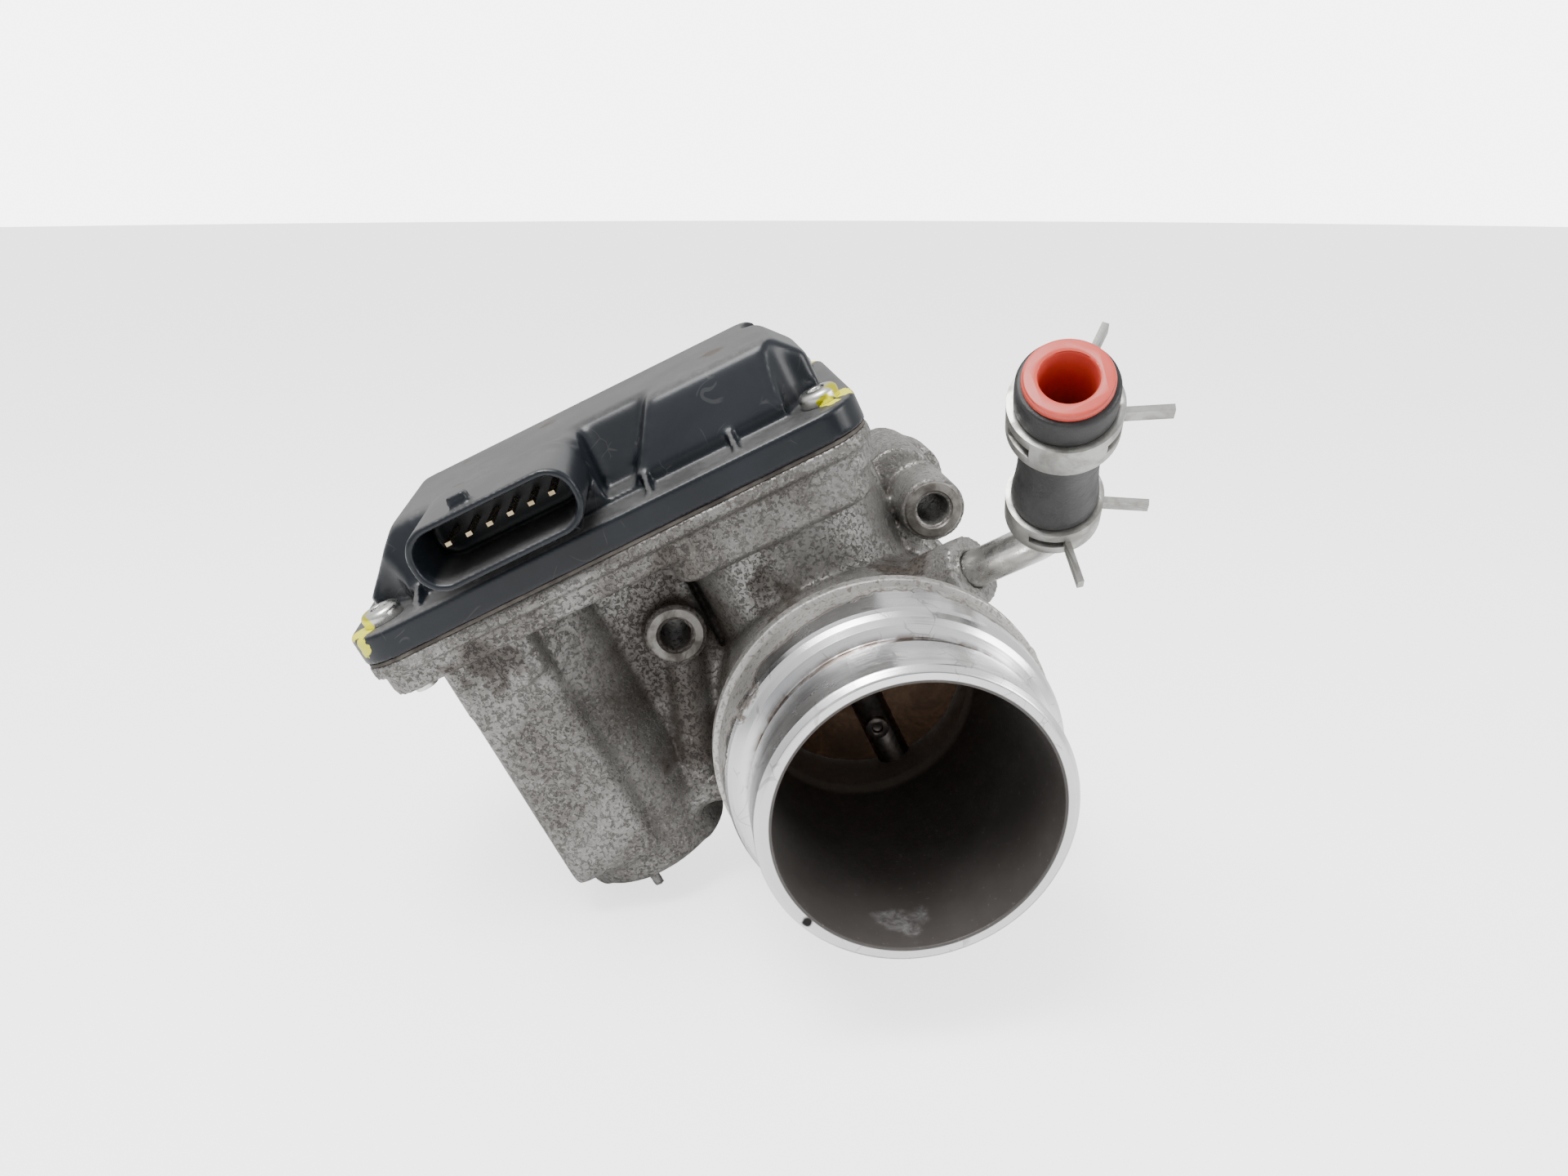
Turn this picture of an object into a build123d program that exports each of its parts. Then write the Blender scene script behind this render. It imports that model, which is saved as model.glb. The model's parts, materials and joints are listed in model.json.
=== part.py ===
from build123d import *
import os
from math import acos, atan2, cos, degrees, hypot, pi, radians, sin, sqrt, tan

# Motor-driven throttle body for a car engine, with a coolant hose stub. Millimetres.
#
# The pieces are drawn in the casting's own frame: the bore runs along Y with its inlet
# towards -Y, the manifold face is the plane Y = 0, and the throttle shaft runs along Z.
# The last step leans everything about Y by ROLL, which is how the loose part lies on a
# table: on the end of its motor housing, its lower bearing boss and its flange.

ROLL = 25.2                    # lean of the shaft from the vertical, top towards -X

# ---- bore and inlet ------------------------------------------------------------------
BODY_LENGTH = 97.0             # inlet rim to manifold face
SPIGOT_OD = 60.0
SPIGOT_ID = 53.6
SPIGOT_BAND = 12.0             # turned band from the rim to the clamp groove
GROOVE_WIDTH = 4.2
GROOVE_DEPTH = 1.0
RIM_CHAMFER = 1.1
COLLAR_OD = 68.6
COLLAR_LENGTH = 13.8           # from the groove to the collar's back edge
SHOULDER_OD = 70.6
SHOULDER_WIDTH = 3.0
BARREL_OD = 64.0
THROAT_D = 49.4                # bore at the throttle plate
TAPER_LENGTH = 57.5            # the inlet narrows over this depth
TAPER_END_D = 50.8
STEP_LENGTH = 2.4              # chamfer from the taper to the throat

# ---- manifold flange -----------------------------------------------------------------
BOLT_CIRCLE = 88.0
BOLT_HOLE_D = 6.8
BOSS_OD = 14.0
BOSS_LENGTH = 38.0
FLANGE_THICKNESS = 10.0
FLANGE_EAR_R = 9.0
FLANGE_DISC_D = 70.0

# ---- throttle shaft and plate --------------------------------------------------------
SHAFT_SETBACK = 26.3           # manifold face to shaft axis
SHAFT_D = 8.2
PLATE_THICKNESS = 1.8
PLATE_REST_DEG = 10.8          # closed plate leans this much from square
PLATE_GAP = 0.3                # plate edge to bore
PLATE_SCREW_OFFSET = 14.5
PLATE_SCREW_D = 3.0
PLATE_SCREW_HEAD_D = 5.4
BUSH_OD = 13.0
BUSH_LENGTH = 8.0
SEAL_LENGTH = 3.0
RUNNING_GAP = 0.03             # radial, in bushes and on pins
LOWER_BOSS_D = 22.0
LOWER_BOSS_END = 51.6          # bore axis to the end of the lower bearing boss
PLUG_THICKNESS = 2.0

# ---- gear case -----------------------------------------------------------------------
DECK = 58.0                    # bore axis to the cover joint
GASKET_THICKNESS = 0.8
CASE_HALF_DEPTH = 29.3         # shaft axis to the case's front and rear edges
CASE_LEFT = 28.0               # motor axis to the case's left edge
CASE_RIGHT = 25.0              # shaft axis to the case's right edge
CASE_CORNER_R = 9.0
CASE_FLANGE = 3.0              # thickness of the rim under the gasket
CASE_WALL = 2.5
CASE_FLOOR = 2.5
CASE_POCKET = 5.5              # depth of the gear pocket below the deck
CASE_STEP_X = -24.0            # right of this the case reaches deeper
CASE_STEP = 5.5
NECK_D = 46.0                  # column between the bore and the case
NECK_SIDE = 24.0               # half-width of the web behind the neck

# ---- motor and its housing -----------------------------------------------------------
MOTOR_OFFSET = 60.0            # shaft axis to motor axis
HOUSING_D = 36.0
HOUSING_END = 18.0             # bore axis down to the housing's end
HOUSING_FLOOR = 2.6
MOTOR_D = 30.0
MOTOR_GAP = 0.4                # motor can to housing
PAD_DEPTH = 2.7                # flat pad standing off the housing's front
PAD_WIDTH = 22.0
PAD_END = 11.0                 # bore axis down to the pad's end
CAN_WALL = 1.0
MAGNET_THICKNESS = 3.4
AIR_GAP = 0.6
MOTOR_SHAFT_D = 3.2
ARMATURE_LENGTH = 34.0
COMMUTATOR_D = 10.0
COMMUTATOR_LENGTH = 8.0
END_CAP_THICKNESS = 2.0
MOTOR_EAR_X = 15.0             # motor screws, from the motor axis along Y

# ---- gears ---------------------------------------------------------------------------
MODULE_FAST = 0.7
PINION_TEETH = 18
WHEEL_TEETH = 66
MODULE_SLOW = 0.9
SMALL_TEETH = 18
SECTOR_TEETH = 50
ADDENDUM = 0.85                # of the module
DEDENDUM = 1.15                # of the module
BACKLASH = 0.16
PRESSURE_DEG = 20.0
OPEN_DEG = 78.0                # travel of the throttle
SECTOR_MARGIN_DEG = 14.0
SECTOR_THICKNESS = 4.0
WHEEL_THICKNESS = 3.6
GEAR_GAP = 0.9                 # between gear faces
PIN_D = 4.0
HUB_D = 12.4

# ---- cover ---------------------------------------------------------------------------
LIP_HEIGHT = 6.2
COVER_RISE = 22.5              # cover joint to the cover's flat top
COVER_WALL = 2.2
CROWN_FRONT = 10.0             # case edge to the crown's front wall
CROWN_REAR = 2.2
CROWN_LEFT = 4.0
CROWN_RIGHT = 4.5
CROWN_SLOPE_LEFT = 13.0
CROWN_SLOPE_RIGHT = 6.0
SCREW_D = 5.0
SCREW_HEAD_D = 8.4
SCREW_HEAD_HEIGHT = 2.8
SCREW_POINT = 1.6              # thread that shows under the case rim
SCREW_LEFT_INSET = 8.0
SCREW_RIGHT_INSET = 6.6
SCREW_LEFT_DEPTH = 21.2
SCREW_RIGHT_DEPTH = 19.0
LUG_R = 7.0
VALLEY_LEFT = -29.0            # dip in the crown between the socket and the dome
VALLEY_RIGHT = -22.5
VALLEY_RUN = 11.0              # lean of the dip's right wall over its height
VALLEY_DEPTH = 14.0
CROWN_CORNER_R = 11.0
CROWN_EDGE_R = 2.4
CROWN_LEAN = 5.0               # lean of the crown's front wall over its height
RIB_THICKNESS = 1.4
RIB_PLACES = (-71.5, -20.0, -1.0)

# ---- plug socket ---------------------------------------------------------------------
SOCKET_X = -46.8
SOCKET_RISE = 17.0             # cover joint to the socket's middle
SOCKET_WIDTH = 34.4
SOCKET_HEIGHT = 13.2
SOCKET_WALL = 1.4
SOCKET_REACH = 12.0            # in front of the case's front edge
SOCKET_DEPTH = 20.0
PIN_COUNT = 6
PIN_PITCH = 4.4
PIN_WIDTH = 1.2
PIN_HEIGHT = 0.8
PIN_LENGTH = 20.0

# ---- coolant pipe, hose and clamps ---------------------------------------------------
PIPE_OD = 7.8
PIPE_WALL = 1.0
PIPE_START = (29.0, -52.2, 20.5)
PIPE_CORNER = (46.4, -66.5, 26.0)
HOSE_DIRECTION = (0.073, -0.703, 0.703)
PIPE_BEND_R = 9.0
PIPE_TO_HOSE = 7.5             # bend corner to the hose's lower end
PIPE_IN_HOSE = 14.0
PIPE_BOSS_D = 15.0
HOSE_LENGTH = 46.0
HOSE_LOWER_OD = 14.8
HOSE_UPPER_OD = 16.4
PLUG_FLANGE_D = 14.4
PLUG_FLANGE_T = 1.6
PLUG_SHANK_D = 11.4
PLUG_BORE = 9.2
PLUG_LENGTH = 15.0
BAND_WIDTH = 7.0
BAND_THICKNESS = 1.2
EAR_LENGTH = 8.5
EAR_WIDTH = 2.6
UPPER_BAND_AT = 0.80           # middle of each band, as a share of the hose
LOWER_BAND_AT = 0.14
NIPPLE_START = (21.0, -26.0, -13.0)
NIPPLE_DIRECTION = (0.92, 0.06, -0.34)
NIPPLE_BOSS_END = 10.0         # from its start to the face of its boss
NIPPLE_IN_BOSS = 8.0
NIPPLE_FREE = 10.0
NIPPLE_STEP = 0.4              # the pressed end is thinner by this, on the radius

# ---- places worked out from the sizes above ------------------------------------------
SHAFT_Y = -SHAFT_SETBACK
MOTOR_X = -MOTOR_OFFSET
RIM_Y = -BODY_LENGTH
CASE_X0 = MOTOR_X - CASE_LEFT
CASE_X1 = CASE_RIGHT
CASE_Y0 = SHAFT_Y - CASE_HALF_DEPTH
CASE_Y1 = SHAFT_Y + CASE_HALF_DEPTH
POCKET_Z = DECK - CASE_POCKET
CASE_BASE = POCKET_Z - CASE_FLOOR
COVER_BASE = DECK + GASKET_THICKNESS
COVER_TOP = DECK + COVER_RISE
SOCKET_Z = DECK + SOCKET_RISE
LIP_TOP = COVER_BASE + LIP_HEIGHT
WHEEL_CENTRES = (PINION_TEETH + WHEEL_TEETH) * MODULE_FAST / 2
SECTOR_CENTRES = (SMALL_TEETH + SECTOR_TEETH) * MODULE_SLOW / 2
IDLER_X = (WHEEL_CENTRES**2 - SECTOR_CENTRES**2 - MOTOR_OFFSET**2) / (2 * MOTOR_OFFSET)
IDLER_RISE = sqrt(max(SECTOR_CENTRES**2 - IDLER_X**2, 0.0))
SECTOR_Z = POCKET_Z + GEAR_GAP
WHEEL_Z = SECTOR_Z + SECTOR_THICKNESS + GEAR_GAP
SCREW_POINTS = [
    (CASE_X0 + SCREW_LEFT_INSET, SHAFT_Y - SCREW_LEFT_DEPTH),
    (CASE_X0 + SCREW_LEFT_INSET, SHAFT_Y + SCREW_LEFT_DEPTH),
    (CASE_X1 - SCREW_RIGHT_INSET, SHAFT_Y - SCREW_RIGHT_DEPTH),
    (CASE_X1 - SCREW_RIGHT_INSET, SHAFT_Y + SCREW_RIGHT_DEPTH),
]


# ---- small helpers -------------------------------------------------------------------
def block(x0, x1, y0, y1, z0, z1):
    """Box between two corners."""
    centre = Pos((x0 + x1) / 2, (y0 + y1) / 2, (z0 + z1) / 2)
    return centre * Box(x1 - x0, y1 - y0, z1 - z0)


def post(x, y, radius, z0, z1):
    """Round bar along Z."""
    return Pos(x, y, (z0 + z1) / 2) * Cylinder(radius, z1 - z0)


def tube(x, y, outer, inner, z0, z1):
    """Round ring along Z."""
    return post(x, y, outer, z0, z1) - post(x, y, inner, z0 - 1, z1 + 1)


def bar(x, z, radius, y0, y1):
    """Round bar along Y."""
    return Pos(x, (y0 + y1) / 2, z) * Rot(90, 0, 0) * Cylinder(radius, y1 - y0)


def turned(points):
    """Solid of revolution about the bore axis from (radius, y) points."""
    return revolve(make_face(Polyline(*points, close=True)), Axis.Y)


def along(start, direction, sketch, length):
    """Extrude a sketch from a point along a direction."""
    return extrude(Plane(origin=start, z_dir=direction) * sketch, length)


def moved(start, direction, distance):
    """The point a distance from start along a direction."""
    return tuple(s + d * distance for s, d in zip(start, direction))


def unit(vector):
    """The vector scaled to length one."""
    size = sqrt(sum(v * v for v in vector))
    return tuple(v / size for v in vector)


def rounded_slab(x0, x1, y0, y1, z0, z1, corner):
    """Flat slab with round vertical corners."""
    sketch = RectangleRounded(x1 - x0, y1 - y0, corner)
    return extrude(Pos((x0 + x1) / 2, (y0 + y1) / 2, z0) * sketch, z1 - z0)


def case_slab(inset, z0, z1):
    """Slab that follows the gear case's outline, drawn in by inset."""
    return rounded_slab(
        CASE_X0 + inset, CASE_X1 - inset, CASE_Y0 + inset, CASE_Y1 - inset,
        z0, z1, max(CASE_CORNER_R - inset, 1.0),
    )


def bolt_points():
    """The four flange bolts as (x, z)."""
    reach = BOLT_CIRCLE / 2
    angles = [radians(45 + 90 * step) for step in range(4)]
    return [(reach * cos(angle), reach * sin(angle)) for angle in angles]


# ---- casting -------------------------------------------------------------------------
def inlet_outside():
    """Turned outside of the inlet, from the rim back through the barrel."""
    spigot_r = SPIGOT_OD / 2
    collar_r = COLLAR_OD / 2
    groove_y = RIM_Y + SPIGOT_BAND
    collar_y = groove_y + GROOVE_WIDTH
    collar_end = collar_y + COLLAR_LENGTH
    shoulder_y = collar_end + 1.0
    shoulder_end = shoulder_y + SHOULDER_WIDTH
    return turned([
        (0, RIM_Y), (spigot_r - RIM_CHAMFER, RIM_Y), (spigot_r, RIM_Y + RIM_CHAMFER),
        (spigot_r, groove_y), (spigot_r - GROOVE_DEPTH, groove_y + 0.5),
        (spigot_r - GROOVE_DEPTH, collar_y - 0.4), (spigot_r + 0.3, collar_y),
        (spigot_r + 0.62 * (collar_r - spigot_r), collar_y + 0.12 * COLLAR_LENGTH),
        (spigot_r + 0.90 * (collar_r - spigot_r), collar_y + 0.36 * COLLAR_LENGTH),
        (collar_r, collar_y + 0.85 * COLLAR_LENGTH), (collar_r, collar_end),
        (collar_r - 0.9, collar_end + 0.3), (collar_r - 0.9, shoulder_y),
        (SHOULDER_OD / 2, shoulder_y + 0.4), (SHOULDER_OD / 2, shoulder_end),
        (BARREL_OD / 2, shoulder_end + 3.0), (BARREL_OD / 2, 0), (0, 0),
    ])


def bore_inside():
    """The air path: a slow taper, a short step and the round throat."""
    taper_y = RIM_Y + TAPER_LENGTH
    return turned([
        (0, RIM_Y - 1), (SPIGOT_ID / 2, RIM_Y - 1), (SPIGOT_ID / 2, RIM_Y),
        (TAPER_END_D / 2, taper_y), (THROAT_D / 2, taper_y + STEP_LENGTH),
        (THROAT_D / 2, 1), (0, 1),
    ])


def flange():
    """Manifold flange with an ear at each bolt."""
    outline = Circle(FLANGE_DISC_D / 2)
    for x, z in bolt_points():
        outline += Pos(x, z) * Circle(FLANGE_EAR_R)
        outline += Pos(x / 2, z / 2) * Rot(0, 0, degrees(atan2(z, x))) * Rectangle(
            hypot(x, z), 2 * FLANGE_EAR_R
        )
    return extrude(Plane.XZ * outline, FLANGE_THICKNESS)


def bolt_bosses():
    """Long bolt bosses in front of the flange."""
    bosses = [bar(x, z, BOSS_OD / 2, -BOSS_LENGTH, 0) for x, z in bolt_points()]
    return bosses[0] + bosses[1:]


def boss_webs():
    """Webs that tie each bolt boss back to the barrel."""
    webs = []
    for x, z in bolt_points():
        web = Rot(0, -degrees(atan2(z, x)), 0) * block(
            BARREL_OD / 2 - 4, BOLT_CIRCLE / 2, -BOSS_LENGTH + 7, 0, -3.5, 3.5
        )
        webs.append(web)
    return webs[0] + webs[1:]


def gear_case():
    """Tray under the cover, stepped deeper at its shaft end."""
    rim = case_slab(0, DECK - CASE_FLANGE, DECK)
    tray = case_slab(1.6, CASE_BASE, DECK - CASE_FLANGE + 0.5)
    deep = rounded_slab(
        CASE_STEP_X, CASE_X1 - 4.0, CASE_Y0 + 1.6, CASE_Y1 - 4.0,
        CASE_BASE - CASE_STEP, CASE_BASE + 0.5, CASE_CORNER_R - 2,
    )
    deep = fillet(deep.faces().sort_by(Axis.Z)[0].edges(), 1.8)
    tray = fillet(tray.faces().sort_by(Axis.Z)[0].edges(), 1.8)
    return rim + tray + deep


def motor_housing():
    """Cup for the motor, with a flat pad on its front."""
    cup = post(MOTOR_X, SHAFT_Y, HOUSING_D / 2, -HOUSING_END, CASE_BASE + 1)
    cup = fillet(cup.faces().sort_by(Axis.Z)[0].edges(), 2.0)
    pad_y = SHAFT_Y - HOUSING_D / 2 - PAD_DEPTH
    pad_x0 = MOTOR_X - HOUSING_D / 2 + 0.6
    pad = block(pad_x0, pad_x0 + PAD_WIDTH, pad_y, SHAFT_Y, -PAD_END, CASE_BASE + 1)
    pad = fillet(pad.faces().sort_by(Axis.Y)[0].edges() - pad.faces().sort_by(Axis.Z)[-1].edges(), 3.6)
    lump = post(MOTOR_X, pad_y + 1.2, 4.2, CASE_BASE - 10, CASE_BASE + 1)
    lump = fillet(lump.faces().sort_by(Axis.Z)[0].edges(), 1.4)
    foot = post(MOTOR_X - 2.2, SHAFT_Y - HOUSING_D / 2 + 5.0, 1.2, -HOUSING_END - 4.0, -HOUSING_END + 2)
    return cup + pad + lump + foot


def housing_web():
    """Thick web, column and ledge between the motor housing and the barrel."""
    inner_x = -BARREL_OD / 2 + 8
    web = block(MOTOR_X + 8, inner_x, SHAFT_Y - 8, -2, -4, CASE_BASE + 1)
    boss_x, boss_z = bolt_points()[1]
    top = (boss_x, -BOSS_LENGTH + 6, boss_z - 4)
    foot = (MOTOR_X + HOUSING_D / 2 - 1, -BOSS_LENGTH + 5, -5)
    run = tuple(b - a for a, b in zip(top, foot))
    column = along(top, unit(run), Circle(5.0), hypot(*run))
    ledge = block(MOTOR_X + 9, inner_x, -BOSS_LENGTH - 1, SHAFT_Y + 4, -10, -4)
    ledge = fillet(ledge.edges().filter_by(Axis.X).sort_by(Axis.Y)[:2], 1.2)
    return web + column + ledge


def neck():
    """Round column that carries the upper shaft bush, with its side webs."""
    column = post(0, SHAFT_Y, NECK_D / 2, 0, CASE_BASE)
    side = block(-NECK_SIDE, NECK_SIDE, SHAFT_Y - 2, -3, 10, CASE_BASE - 4)
    ear_x, ear_z = bolt_points()[0]
    lobe = bar(ear_x - 3, ear_z + 4, FLANGE_EAR_R - 0.5, -BOSS_LENGTH + 14, 0)
    return column + side + lobe


def lower_boss():
    """Boss for the lower shaft bush."""
    boss = post(0, SHAFT_Y, LOWER_BOSS_D / 2, -LOWER_BOSS_END, 0)
    return fillet(boss.faces().sort_by(Axis.Z)[0].edges(), 1.2)


def pipe_bosses():
    """Bosses that the two coolant pipes are pressed into."""
    run = unit(tuple(b - a for a, b in zip(PIPE_START, PIPE_CORNER)))
    front = along(moved(PIPE_START, run, -20), run, Circle(PIPE_BOSS_D / 2), 24)
    below = unit(NIPPLE_DIRECTION)
    rear = along(NIPPLE_START, below, Circle(PIPE_BOSS_D / 2), NIPPLE_BOSS_END)
    return front + rear


def pipe_sockets():
    """Blind holes for the two coolant pipes."""
    run = unit(tuple(b - a for a, b in zip(PIPE_START, PIPE_CORNER)))
    front = along(moved(PIPE_START, run, -3), run, Circle(PIPE_OD / 2), 12)
    below = unit(NIPPLE_DIRECTION)
    start = moved(NIPPLE_START, below, NIPPLE_BOSS_END - NIPPLE_IN_BOSS)
    rear = along(start, below, Circle(PIPE_OD / 2 - NIPPLE_STEP), NIPPLE_IN_BOSS + 1)
    return front + rear


def gear_pocket():
    """Room for the gears below the deck."""
    inset = 1.6 + CASE_WALL
    pocket = case_slab(inset, POCKET_Z, DECK + 1)
    lugs = [post(x, y, LUG_R - 1.2, POCKET_Z - 1, DECK + 2) for x, y in SCREW_POINTS]
    return pocket - lugs


def bearing_bores():
    """Stepped bore along the shaft: lower plug and bush, upper seal, bush and spring well."""
    bottom = -LOWER_BOSS_END
    plug = post(0, SHAFT_Y, BUSH_OD / 2, bottom - 1, lower_bush_z() + BUSH_LENGTH + SEAL_LENGTH)
    upper = post(0, SHAFT_Y, BUSH_OD / 2, upper_bush_z() - SEAL_LENGTH, POCKET_Z + 1)
    well = tube(0, SHAFT_Y, 15.0, 8.6, CASE_BASE - CASE_STEP + 3, POCKET_Z + 1)
    clear = post(0, SHAFT_Y, SHAFT_D / 2 + 0.5, -LOWER_BOSS_END, CASE_BASE)
    return plug + upper + well + clear


def lower_bush_z():
    """Underside of the lower bush."""
    return -LOWER_BOSS_END + PLUG_THICKNESS + 2.0


def upper_bush_z():
    """Underside of the upper bush."""
    return CASE_BASE - CASE_STEP - 4.0


def make_body():
    """The casting with every bore, pocket and thread hole cut."""
    body = inlet_outside() + flange() + bolt_bosses() + boss_webs() + neck()
    body += lower_boss() + gear_case() + motor_housing() + housing_web() + pipe_bosses()
    for x, y in SCREW_POINTS:
        body += post(x, y, LUG_R - 1.2, CASE_BASE, DECK)
    idler_y = SHAFT_Y + IDLER_RISE
    body += post(IDLER_X, idler_y, 7.0, CASE_BASE - 4, POCKET_Z)
    body -= bore_inside()
    body -= gear_pocket()
    body -= bearing_bores()
    body -= pipe_sockets()
    body -= post(MOTOR_X, SHAFT_Y, MOTOR_D / 2 + MOTOR_GAP, -HOUSING_END + HOUSING_FLOOR, DECK)
    body -= post(IDLER_X, idler_y, PIN_D / 2, CASE_BASE - 2, DECK)
    for x, z in bolt_points():
        body -= bar(x, z, BOLT_HOLE_D / 2, -BOSS_LENGTH - 30, 1)
    for x, y in SCREW_POINTS:
        body -= post(x, y, SCREW_D / 2, CASE_BASE - 5, DECK + 1)
    for y in motor_screw_ys():
        body -= post(MOTOR_X, y, 1.5, CASE_BASE - 6, DECK)
    body -= post(*stop_screw_place(), 2.0, CASE_BASE - 3, DECK)
    return body


# ---- shaft, plate, bushes and seals ---------------------------------------------------
def shaft_top():
    """Top end of the throttle shaft, inside the sector's hub."""
    return WHEEL_Z + WHEEL_THICKNESS + 4.0


def make_shaft():
    """Round shaft, slotted for the plate, drilled for its screws, flatted at the top."""
    shaft = post(0, SHAFT_Y, SHAFT_D / 2, lower_bush_z() + 0.3, shaft_top())
    slot = plate_slab(PLATE_THICKNESS, SHAFT_D)
    shaft -= slot & post(0, SHAFT_Y, SHAFT_D, -THROAT_D / 2 + 0.1, THROAT_D / 2 - 0.1)
    for z in (-PLATE_SCREW_OFFSET, PLATE_SCREW_OFFSET):
        shaft -= screw_bar(z, PLATE_SCREW_D / 2, -SHAFT_D, SHAFT_D)
        shaft -= screw_bar(z, PLATE_SCREW_HEAD_D / 2 + 0.1, -SHAFT_D, -SHAFT_D / 2 + 1.0)
    flat = block(2.8, SHAFT_D, SHAFT_Y - SHAFT_D, SHAFT_Y + SHAFT_D, SECTOR_Z, shaft_top() + 1)
    return shaft - flat


def plate_turn(shape):
    """Turn a shape drawn square to the bore to the closed plate's lean."""
    return Pos(0, SHAFT_Y, 0) * Rot(0, 0, -PLATE_REST_DEG) * shape


def plate_slab(thickness, half_width):
    """Flat slab through the shaft axis, in the plane of the closed plate."""
    return plate_turn(Box(2 * half_width, thickness, 2 * THROAT_D))


def screw_bar(z, radius, y0, y1):
    """Round bar square to the closed plate at height z."""
    return plate_turn(bar(0, z, radius, y0, y1))


def make_plate():
    """Oval throttle plate that fills the round throat when closed."""
    disc = plate_slab(PLATE_THICKNESS, THROAT_D)
    disc = disc & bar(0, 0, THROAT_D / 2 - PLATE_GAP, -2 * SHAFT_SETBACK, SHAFT_SETBACK)
    for z in (-PLATE_SCREW_OFFSET, PLATE_SCREW_OFFSET):
        disc -= screw_bar(z, PLATE_SCREW_D / 2, -SHAFT_D, SHAFT_D)
    return disc


def make_plate_screws():
    """Two screws through shaft and plate, heads on the inlet side."""
    screws = []
    head_y = -SHAFT_D / 2 + 1.0
    for z in (-PLATE_SCREW_OFFSET, PLATE_SCREW_OFFSET):
        head = screw_bar(z, PLATE_SCREW_HEAD_D / 2, head_y - 1.7, head_y)
        shank = screw_bar(z, PLATE_SCREW_D / 2, head_y - 0.1, SHAFT_D / 2 + 0.6)
        recess = screw_bar(z, 1.25, head_y - 2.0, head_y - 0.6)
        screws.append(head + shank - recess)
    return screws


def make_lower_bush():
    """Plain bush in the lower boss."""
    z = lower_bush_z()
    return tube(0, SHAFT_Y, BUSH_OD / 2, SHAFT_D / 2 + RUNNING_GAP, z, z + BUSH_LENGTH)


def make_upper_bush():
    """Plain bush under the gear case."""
    z = upper_bush_z()
    return tube(0, SHAFT_Y, BUSH_OD / 2, SHAFT_D / 2 + RUNNING_GAP, z, POCKET_Z)


def make_lower_seal():
    """Lip seal above the lower bush."""
    z = lower_bush_z() + BUSH_LENGTH
    return tube(0, SHAFT_Y, BUSH_OD / 2, SHAFT_D / 2 + RUNNING_GAP, z, z + SEAL_LENGTH)


def make_upper_seal():
    """Lip seal below the upper bush."""
    z = upper_bush_z() - SEAL_LENGTH
    return tube(0, SHAFT_Y, BUSH_OD / 2, SHAFT_D / 2 + RUNNING_GAP, z, z + SEAL_LENGTH)


def make_core_plug():
    """Cup plug that closes the lower boss."""
    bottom = -LOWER_BOSS_END + 0.6
    cup = post(0, SHAFT_Y, BUSH_OD / 2, bottom, bottom + PLUG_THICKNESS + 1)
    return cup - post(0, SHAFT_Y, BUSH_OD / 2 - 1, bottom - 1, bottom + PLUG_THICKNESS)


# ---- gears ---------------------------------------------------------------------------
def involute_angle(base_r, radius):
    """Involute function of the point at radius on a base circle."""
    if radius <= base_r:
        return 0.0
    pressure = acos(base_r / radius)
    return tan(pressure) - pressure


def gear_sketch(teeth, module, phase_deg, addendum=ADDENDUM):
    """Spur gear outline with involute flanks; a tooth is centred on phase_deg."""
    pitch_r = teeth * module / 2
    base_r = pitch_r * cos(radians(PRESSURE_DEG))
    tip_r = pitch_r + addendum * module
    root_r = pitch_r - DEDENDUM * module
    half = pi / (2 * teeth) - BACKLASH / (2 * pitch_r)
    at_pitch = involute_angle(base_r, pitch_r)
    start_r = max(base_r, root_r)
    steps = [start_r + (tip_r - start_r) * share for share in (0, 0.35, 0.7, 1)]
    flank = [(root_r, half + at_pitch)] if root_r < base_r else []
    flank += [(r, half + at_pitch - involute_angle(base_r, r)) for r in steps]
    points = []
    for tooth in range(teeth):
        centre = radians(phase_deg) + 2 * pi * tooth / teeth
        rising = [(r, centre - turn) for r, turn in flank]
        falling = [(r, centre + turn) for r, turn in reversed(flank)]
        points += [(r * cos(a), r * sin(a)) for r, a in rising + falling]
    return make_face(Polyline(*points, close=True))


def half_tooth(teeth):
    """Half the angle from one tooth to the next, in degrees."""
    return 180 / teeth


def line_angle():
    """Direction from the idler pin to the throttle shaft, in degrees."""
    return degrees(atan2(-IDLER_RISE, -IDLER_X))


def motor_line_angle():
    """Direction from the idler pin to the motor shaft, in degrees."""
    return degrees(atan2(-IDLER_RISE, MOTOR_X - IDLER_X))


def make_intermediate_gear():
    """Large wheel driven by the motor, with the small gear under it, bored for its pin."""
    idler_y = SHAFT_Y + IDLER_RISE
    wheel_phase = motor_line_angle() + half_tooth(WHEEL_TEETH)
    wheel = extrude(gear_sketch(WHEEL_TEETH, MODULE_FAST, wheel_phase), WHEEL_THICKNESS)
    wheel_r = WHEEL_TEETH * MODULE_FAST / 2
    web_ring = Circle(wheel_r - 3.0) - Circle(9.5)
    wheel -= Pos(0, 0, WHEEL_THICKNESS - 1.0) * extrude(web_ring, 2)
    small = extrude(gear_sketch(SMALL_TEETH, MODULE_SLOW, line_angle()), WHEEL_Z - SECTOR_Z)
    gear = Pos(IDLER_X, idler_y, WHEEL_Z) * wheel + Pos(IDLER_X, idler_y, SECTOR_Z) * small
    return gear - post(IDLER_X, idler_y, PIN_D / 2 + RUNNING_GAP, POCKET_Z - 1, COVER_TOP)


def make_idler_pin():
    """Steel pin that carries the intermediate gear, pressed into the case."""
    idler_y = SHAFT_Y + IDLER_RISE
    return post(IDLER_X, idler_y, PIN_D / 2, CASE_BASE - 2, WHEEL_Z + WHEEL_THICKNESS + 2.5)


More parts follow.
